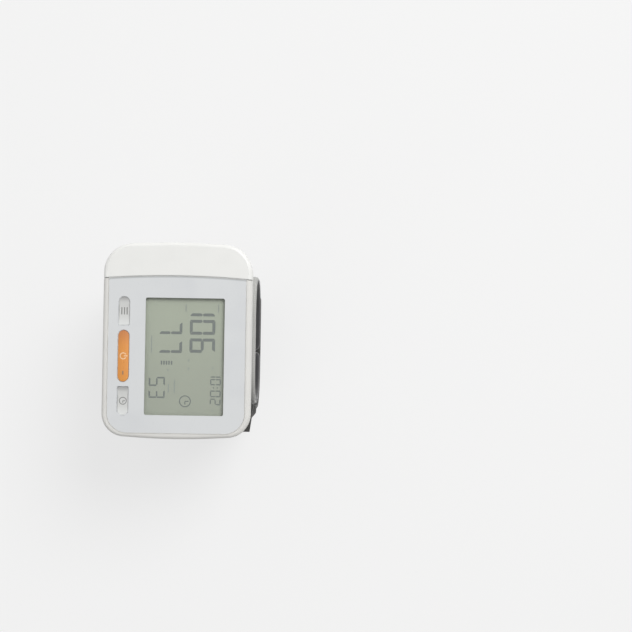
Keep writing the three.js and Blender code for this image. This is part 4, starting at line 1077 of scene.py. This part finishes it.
class Band:
    """A band of cloth on a run, whose half width and thickness may change along it.

    Its middle is a height over the run, or "inner" where its inner face lies on the run.
    """

    def __init__(self, run, half, thickness, middle, corner, edge, crown=0, channel=0):
        self.run = run
        self.half = half if callable(half) else lambda along: half
        self.thickness = thickness if callable(thickness) else lambda along, out: thickness
        self.middle = middle
        self.corner = corner
        self.edge = edge
        self.crown = crown
        self.channel = channel

    def inside(self, along, across):
        """How far a place lies inside the rounded outline, and the place, drawn in if it lies outside."""
        half = self.half(along)
        ends = min(along, self.run.length - along)
        sides = half - abs(across)
        if ends < self.corner and sides < self.corner:
            reach = Vector((self.corner - ends, self.corner - sides))
            if reach.length > self.corner:
                reach = reach.normalized() * self.corner
                new_end = self.corner - reach.x
                along = new_end if along < self.run.length / 2 else self.run.length - new_end
                across = math.copysign(half - self.corner + reach.y, across)
            return self.corner - reach.length, along, across
        return min(ends, sides), along, across

    def full(self, along):
        """Half the thickness away from the edges."""
        return self.thickness(along, self.run.at(along)[1]) / 2

    def height(self, along, depth):
        """Half the thickness at a depth from the edge: its rounding, its crown and its sewn channel."""
        rounding = math.sqrt(max(0, 1 - (1 - min(depth, self.edge) / self.edge) ** 2))
        swell = 1 - self.crown * (1 - eased(depth / CROWN_REACH))
        dip = self.channel * math.exp(-(((depth - CHANNEL_INSET) / CHANNEL_WIDTH) ** 2))
        return max(0, self.full(along) * rounding * swell - dip * rounding)

    def surface(self, along, across, height):
        """A point at a height over the middle of the band."""
        middle = self.full(along) if self.middle == "inner" else self.middle
        return self.run.point(along, across, middle + height)

    def piece(self, name, outer, inner, body, slot, replaces, pitch=CLOTH_PITCH):
        """The band as a closed piece with its own map, with one finish outside and one inside."""
        shape = bmesh.new()
        chart = shape.loops.layers.uv.new("cloth")
        first_half = self.half(0)
        alongs = spread(self.run.length, self.edge, pitch)
        shares = [place / first_half - 1 for place in spread(2 * first_half, self.edge, pitch)]
        places = {}
        for side in (1, -1):
            for i, along in enumerate(alongs):
                for j, share in enumerate(shares):
                    depth, *spot = self.inside(along, share * self.half(along))
                    lift = side * self.height(spot[0], max(depth, 0))
                    places[side, i, j] = (shape.verts.new(self.surface(*spot, lift)), spot)
            for i in range(len(alongs) - 1):
                for j in range(len(shares) - 1):
                    corners = [places[side, i + a, j + b] for a, b in ((0, 0), (1, 0), (1, 1), (0, 1))]
                    if side < 0:
                        corners.reverse()
                    face = shape.faces.new([vert for vert, spot in corners])
                    face.smooth = True
                    face.material_index = 0 if side > 0 else 1
                    for loop, (vert, spot) in zip(face.loops, corners):
                        loop[chart].uv = spot
        bmesh.ops.remove_doubles(shape, verts=shape.verts, dist=SAME_VERTEX)
        bmesh.ops.dissolve_degenerate(shape, edges=shape.edges, dist=SHORTEST_EDGE)
        return add_piece(name, closed_mesh(shape, name, outer, inner), body, replaces)

    def outline(self, inset):
        """Places round the band at an inset from its edge, at equal steps."""
        half = self.half(self.run.length / 2) - inset
        radius = max(self.corner - inset, SMALLEST_CORNER)
        sides = (inset, self.run.length - inset, -half, half)
        corners = rounded_outline(*sides, radius, CORNER_STEPS)
        line = [Vector(corner) for corner in [*corners, corners[0]]]
        whole = length_of(line)
        return [walk(line, whole * i / OUTLINE_POINTS) for i in range(OUTLINE_POINTS)]


# Edging: a tape folded over a band's whole edge
TAPE_REACH = 0.15
TAPE_SIDES = 16


def squared(share):
    """A sine or cosine drawn towards 1 and -1, which makes a circle nearly square."""
    return math.copysign(abs(share) ** 0.5, share)


def taped_edge(name, band, inset, height, finish, body):
    """A closed ring of rounded section, with its own map."""
    shape = bmesh.new()
    chart = shape.loops.layers.uv.new("cloth")
    half_reach = (inset + TAPE_REACH) / 2
    girth = 4 * half_reach / TAPE_SIDES
    rings = []
    walked = 0
    for far, near in zip(band.outline(-TAPE_REACH), band.outline(inset)):
        middle = (far + near) / 2
        inwards = (near - far).normalized()
        if rings:
            walked += (middle - rings[-1][1]).length
        ring = []
        for k in range(TAPE_SIDES):
            turn = 2 * math.pi * k / TAPE_SIDES
            spot = middle + inwards * (squared(math.cos(turn)) * half_reach)
            lift = squared(math.sin(turn)) * height * band.full(spot.x)
            ring.append(shape.verts.new(band.surface(spot.x, spot.y, lift)))
        rings.append((ring, middle, walked))
    closing = walked + walked / len(rings)
    for (ring, _, start), (after, _, end) in zip(rings, [*rings[1:], (rings[0][0], None, closing)]):
        for k in range(TAPE_SIDES):
            face = tube_face(shape, ring, after, k)
            spots = [(start, k * girth), (end, k * girth), (end, (k + 1) * girth), (start, (k + 1) * girth)]
            for loop, spot in zip(face.loops, spots):
                loop[chart].uv = spot
    add_piece(name, closed_mesh(shape, name, finish), body)


# Stitches: small threads laid along lines
STITCH_PITCH = 3.0
STITCH_LENGTH = 2.1
STITCH_RADIUS = 0.17
LINE_STEPS = 40


def stitch_tree():
    """Puts a thread at each step along the lines it is given."""
    tree = bpy.data.node_groups.new("stitches", "GeometryNodeTree")
    sockets = [("Lines", "Geometry"), ("Pitch", "Float"), ("Length", "Float"), ("Radius", "Float")]
    for name, kind in [*sockets, ("Thread", "Material")]:
        tree.interface.new_socket(name, in_out="INPUT", socket_type="NodeSocket" + kind)
    tree.interface.new_socket("Stitches", in_out="OUTPUT", socket_type="NodeSocketGeometry")
    given = tree.nodes.new("NodeGroupInput").outputs
    result = tree.nodes.new("NodeGroupOutput")

    def step(kind, inputs, **settings):
        return add_node(tree, kind, settings, inputs).outputs[0]

    curve = step("GeometryNodeMeshToCurve", {"Mesh": given["Lines"]})
    steps = step("GeometryNodeResampleCurve", {"Curve": curve, "Length": given["Pitch"]}, mode="LENGTH")
    tangent = step("GeometryNodeInputTangent", {})
    turned = step("FunctionNodeAlignRotationToVector", {"Vector": tangent}, axis="Z")
    ball = step("GeometryNodeMeshUVSphere", {"Segments": 8, "Rings": 6, "Radius": 1.0})
    girth = given["Radius"]
    size = step("ShaderNodeCombineXYZ", {"X": girth, "Y": girth, "Z": given["Length"]})
    threads = {"Points": steps, "Instance": ball, "Rotation": turned, "Scale": size}
    placed = step("GeometryNodeInstanceOnPoints", threads)
    real = step("GeometryNodeRealizeInstances", {"Geometry": placed})
    smooth = step("GeometryNodeSetShadeSmooth", {0: real})
    dyed = step("GeometryNodeSetMaterial", {"Geometry": smooth, "Material": given["Thread"]})
    tree.links.new(dyed, result.inputs[0])
    return tree


stitch_nodes = stitch_tree()


def stitches(name, lines, finish, body):
    """Threads along lines of points in metres, as one plain mesh."""
    guide = bpy.data.meshes.new(name + "_guide")
    points = [point for line in lines for point in line]
    edges = []
    first = 0
    for line in lines:
        edges += [(first + i, first + i + 1) for i in range(len(line) - 1)]
        first += len(line)
    guide.from_pydata(points, edges, [])
    holder = put(name + "_guide", guide)
    sewn = holder.modifiers.new("stitches", "NODES")
    sewn.node_group = stitch_nodes
    sizes = {
        "Pitch": STITCH_PITCH * MM,
        "Length": STITCH_LENGTH / 2 * MM,
        "Radius": STITCH_RADIUS * MM,
        "Thread": finish,
    }
    for item in stitch_nodes.interface.items_tree:
        if item.in_out == "INPUT" and item.name in sizes:
            sewn[item.identifier] = sizes[item.name]
    bpy.context.view_layer.update()
    grown = holder.evaluated_get(bpy.context.evaluated_depsgraph_get())
    mesh = bpy.data.meshes.new_from_object(grown)
    mesh.name = name
    holder.modifiers.clear()
    bpy.data.objects.remove(holder)
    bpy.data.meshes.remove(guide)
    add_piece(name, mesh, body)


def closed_line(band, inset, side, height):
    """The line of a seam round a band, on its outer face (1) or its inner one (-1)."""
    spots = band.outline(inset)
    line = [band.surface(spot.x, spot.y, side * height * band.full(spot.x)) for spot in spots]
    return [*line, line[0]]


def across_line(run, along, half, lift):
    return [run.point(along, half * (2 * i / LINE_STEPS - 1), lift) for i in range(LINE_STEPS + 1)]


# The cuff: a padded C round the wrist, with a bladder and a stiffener inside it
TAPE_INSET = 2.9
TAPE_HEIGHT_SHARE = 0.39
SEAM_INSET = 2.0
SEAM_HEIGHT_SHARE = 0.385
BLADDER_THICKNESS = 0.8
BLADDER_MIDDLE = 1.4
BLADDER_PITCH = 2.2
SMOOTHING_ROUNDS = 6


def wrist_line():
    """The inside of the cuff, from half way up one side, over the top and round to its free end."""
    return [
        Vector((CUFF_SIDE, CUFF_MIDDLE)),
        *arc(UPPER_CENTRE, UPPER_RADIUS, 0, 90),
        *arc(UPPER_CENTRE, UPPER_RADIUS, 90, 180, mirrored=True),
        *arc(LOWER_CENTRE, LOWER_RADIUS, 180, 270, mirrored=True),
        Vector((FREE_END, CUFF_FOOT)),
    ]


def cuff():
    run = Run(wrist_line(), SMOOTHING_ROUNDS)
    band = Band(run, CUFF_HALF, CUFF_THICKNESS, "inner", corner=3, edge=1.4, crown=0.34, channel=0.22)
    covered = ["cuff_sleeve", "cuff_lining"]
    sleeve = band.piece("cuff_cushion", sleeve_knit, lining_pile, "monitor", "sleeve", covered)
    taped_edge("cuff_binding", band, TAPE_INSET, TAPE_HEIGHT_SHARE, binding_tape, "monitor")
    seams = [closed_line(band, SEAM_INSET, side, SEAM_HEIGHT_SHARE) for side in (1, -1)]
    stitches("cuff_stitches", seams, sleeve_thread, "monitor")
    half = high("air_bladder", 1)
    film = Band(run, half, BLADDER_THICKNESS, BLADDER_MIDDLE, corner=4, edge=0.4, crown=0.5)
    faces = (bladder_film, bladder_film)
    bladder = film.piece("bladder_film", *faces, "monitor", "bladder", ["air_bladder"], BLADDER_PITCH)


# The strap on its pin, its pad, the two fastener pads and their seams
STRAP_THICKNESS = 1.8
STRAP_INNER = low("hook_pad", 2) - LAYER_GAP
STRAP_SIDE = CUFF_SIDE + CUFF_THICKNESS + LAYER_GAP
STRAP_RADIUS = STRAP_SIDE - LOWER_CENTRE.x
STRAP_CENTRE = Vector((LOWER_CENTRE.x, STRAP_INNER + STRAP_RADIUS))
TAIL_RADIUS = LOWER_CENTRE.y - STRAP_INNER
TAIL_SWEEP = 24
HOOK_SWEEP = 20
LOOP_SWEEP = 54
EYE_OUTER = 2.6
EYE_BORE = 1.5
EYE_MIDDLE = (EYE_OUTER + EYE_BORE) / 2
EYE_SWEEP = 252
EYE_HALF = 25.7
EYE_BEND = 3.2
PIN_RADIUS = 1.2
PIN = Vector((high("strap", 0) - EYE_OUTER, low("strap_pin", 2) + PIN_RADIUS))
WEBBING_EASE = 0.1
WEBBING_HALF = high("strap", 1) - WEBBING_EASE
TAPER_START = 18
TAPER_END = 3.5
THINNING_START = 2.5
THINNING_LENGTH = 3
SEAM_STEPS = 200
SEAM_EDGE = 2.0
CROSS_EDGE = 2.2
TAIL_SEAM = 1.8
TAIL_CROSS = 2.0
EYE_SEAM = 8
SEAM_SPACING = 1.9
STITCH_SINK = 0.1
PAD_EASE = 0.15
PAD_LAYER_EASE = 0.1
PAD_SKIN = 0.05
PAD_TAPE_INSET = 2.6
PAD_TAPE_SHARE = 0.4
PAD_SEAM_INSET = 1.8
PAD_SEAM_SHARE = 0.395


def strap_line():
    """The middle of the strap, from its tail, under the wrist, up the side and round the pin."""
    middle = STRAP_THICKNESS / 2
    return [
        *arc(LOWER_CENTRE, TAIL_RADIUS + middle, 270 - TAIL_SWEEP, 270, mirrored=True),
        *arc(STRAP_CENTRE, STRAP_RADIUS + middle, -90, 0),
        Vector((STRAP_SIDE + middle, UPPER_CENTRE.y)),
        Vector((PIN.x + EYE_OUTER - middle, PIN.y - EYE_BEND)),
        *arc(PIN, EYE_MIDDLE, 0, EYE_SWEEP),
    ]


def strap():
    run = Run(strap_line())
    eye_start = run.length - math.radians(EYE_SWEEP) * EYE_MIDDLE

    def half(along):
        taper = clamped((along - eye_start + TAPER_START) / (TAPER_START - TAPER_END))
        return WEBBING_HALF - (WEBBING_HALF - EYE_HALF) * taper

    def thickness(along, out):
        thinned = eased((along - eye_start + THINNING_START) / THINNING_LENGTH)
        return STRAP_THICKNESS - (STRAP_THICKNESS - EYE_OUTER + EYE_BORE) * thinned

    band = Band(run, half, thickness, 0, corner=2, edge=0.85)
    band.piece("strap_band", strap_webbing, strap_webbing, "strap", "strap", ["strap"])
    seam_end = eye_start - EYE_SEAM
    alongs = [TAIL_SEAM + (seam_end - TAIL_SEAM) * i / SEAM_STEPS for i in range(SEAM_STEPS + 1)]
    lines = []
    for side in (1, -1):
        lift = side * (STRAP_THICKNESS / 2 - STITCH_SINK)
        for edge in (-1, 1):
            lines.append([run.point(along, edge * (half(along) - SEAM_EDGE), lift) for along in alongs])
        for along in (seam_end, seam_end + SEAM_SPACING, TAIL_CROSS):
            lines.append(across_line(run, along, half(along) - CROSS_EDGE, lift))
    stitches("strap_stitches", lines, strap_thread, "strap")


def strap_pad():
    line = [
        Vector((CUFF_SIDE, high("strap_pad", 2))),
        *arc(LOWER_CENTRE, LOWER_RADIUS, 0, -90),
        Vector((low("strap_pad", 0), CUFF_FOOT)),
    ]
    depth = CUFF_THICKNESS - PAD_LAYER_EASE
    drop = CUFF_FOOT - low("strap_pad", 2) - depth

    def thickness(along, out):
        return depth + drop * max(0, -out.y) - PAD_SKIN

    half = high("strap_pad", 1) - PAD_EASE
    band = Band(Run(line), half, thickness, "inner", corner=2.5, edge=1.4, crown=0.3, channel=0.2)
    cushion = band.piece("strap_cushion", lining_pile, lining_pile, "strap", "lining", ["strap_pad"])
    name = "strap_cushion_binding"
    taped_edge(name, band, PAD_TAPE_INSET, PAD_TAPE_SHARE, strap_edging, "strap")
    seam = closed_line(band, PAD_SEAM_INSET, -1, PAD_SEAM_SHARE)
    stitches("strap_cushion_stitches", [seam], strap_thread, "strap")


def fastener_tape(name, line, middle, finish, body, node):
    band = Band(Run(line), high(node, 1), TAPE_DEPTH, middle, corner=2, edge=0.3)
    band.piece(name, finish, finish, body, "fastener_pads", [node])


def fastener_pads():
    """The napped pad on the cuff and the hooked one on the strap, each a thin tape sewn on."""
    napped = [
        *arc(LOWER_CENTRE, LOWER_RADIUS, 270 - LOOP_SWEEP, 270, mirrored=True),
        Vector((high("loop_pad", 0), CUFF_FOOT)),
    ]
    hooked = [
        Vector((high("hook_pad", 0), STRAP_INNER)),
        *arc(LOWER_CENTRE, TAIL_RADIUS, 270, 270 - HOOK_SWEEP, mirrored=True),
    ]
    level = CUFF_THICKNESS + LAYER_GAP + TAPE_DEPTH / 2
    fastener_tape("loop_tape", napped, level, loop_pile, "monitor", "loop_pad")
    fastener_tape("hook_tape", hooked, -TAPE_DEPTH, hook_tape, "strap", "hook_pad")


# Every other node by its slot and finish, and how far some of their edges are softened
DRESSED = [
    ("shell", shell_white, "front_shell rear_shell"),
    ("panel", panel_white, "front_panel"),
    ("lens", clear_lens, "display_lens"),
    ("cover", cover_white, "battery_cover"),
    ("button_grey", memory_grey, "memory_button"),
    ("button_orange", orange_button, "start_button"),
    ("button_grey", set_grey, "set_button"),
    ("display", sage_display, "display_glass"),
    ("inner_plastic", inner_white, "display_frame air_manifold pump_bracket"),
    ("inner_plastic", inner_white, "memory_plunger start_plunger set_plunger"),
    ("circuit_board", green_board, "main_board"),
    ("cradle", dark_plastic, "cradle"),
    ("strap", tab_rubber, "pull_tab"),
    ("bladder", bladder_film, "cuff_stiffener"),
    ("hose", hose_rubber, "cuff_nipple pump_hose valve_hose sensor_hose"),
    ("steel", plain_steel, "strap_pin pump_motor valve_yoke valve_plunger"),
    ("steel", plain_steel, "case_screw_1 case_screw_2 cradle_screw_1 cradle_screw_2"),
    ("steel", nickel_strip, "bridge_contact minus_contact plus_contact"),
    ("copper", copper_winding, "pump_rotor valve_coil"),
    ("black_plastic", black_plastic, "pump_head pressure_sensor controller_chip buzzer"),
    ("black_plastic", black_plastic, "memory_switch start_switch set_switch zebra_strip_1 zebra_strip_2"),
    ("cell", cell_jacket("cell_1"), "cell_1"),
    ("cell", cell_jacket("cell_2"), "cell_2"),
]
SOFTENED = {"front_panel": 0.18, "display_lens": 0.08, "pull_tab": 0.5, "pump_head": 0.2, "buzzer": 0.2}
SOFTENED.update(strap_pin=0.1, controller_chip=0.1, zebra_strip_1=0.1, zebra_strip_2=0.1)


def valve_spring():
    spring = dressed("valve_spring", plain_steel)
    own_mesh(spring)


photo_camera()
pale_floor()
studio_light()
for slot, finish, covered in DRESSED:
    for node in covered.split():
        dressed(node, finish)
valve_spring()
display_film()
display_reading()
panel_beads()
cuff()
strap()
strap_pad()
fastener_pads()
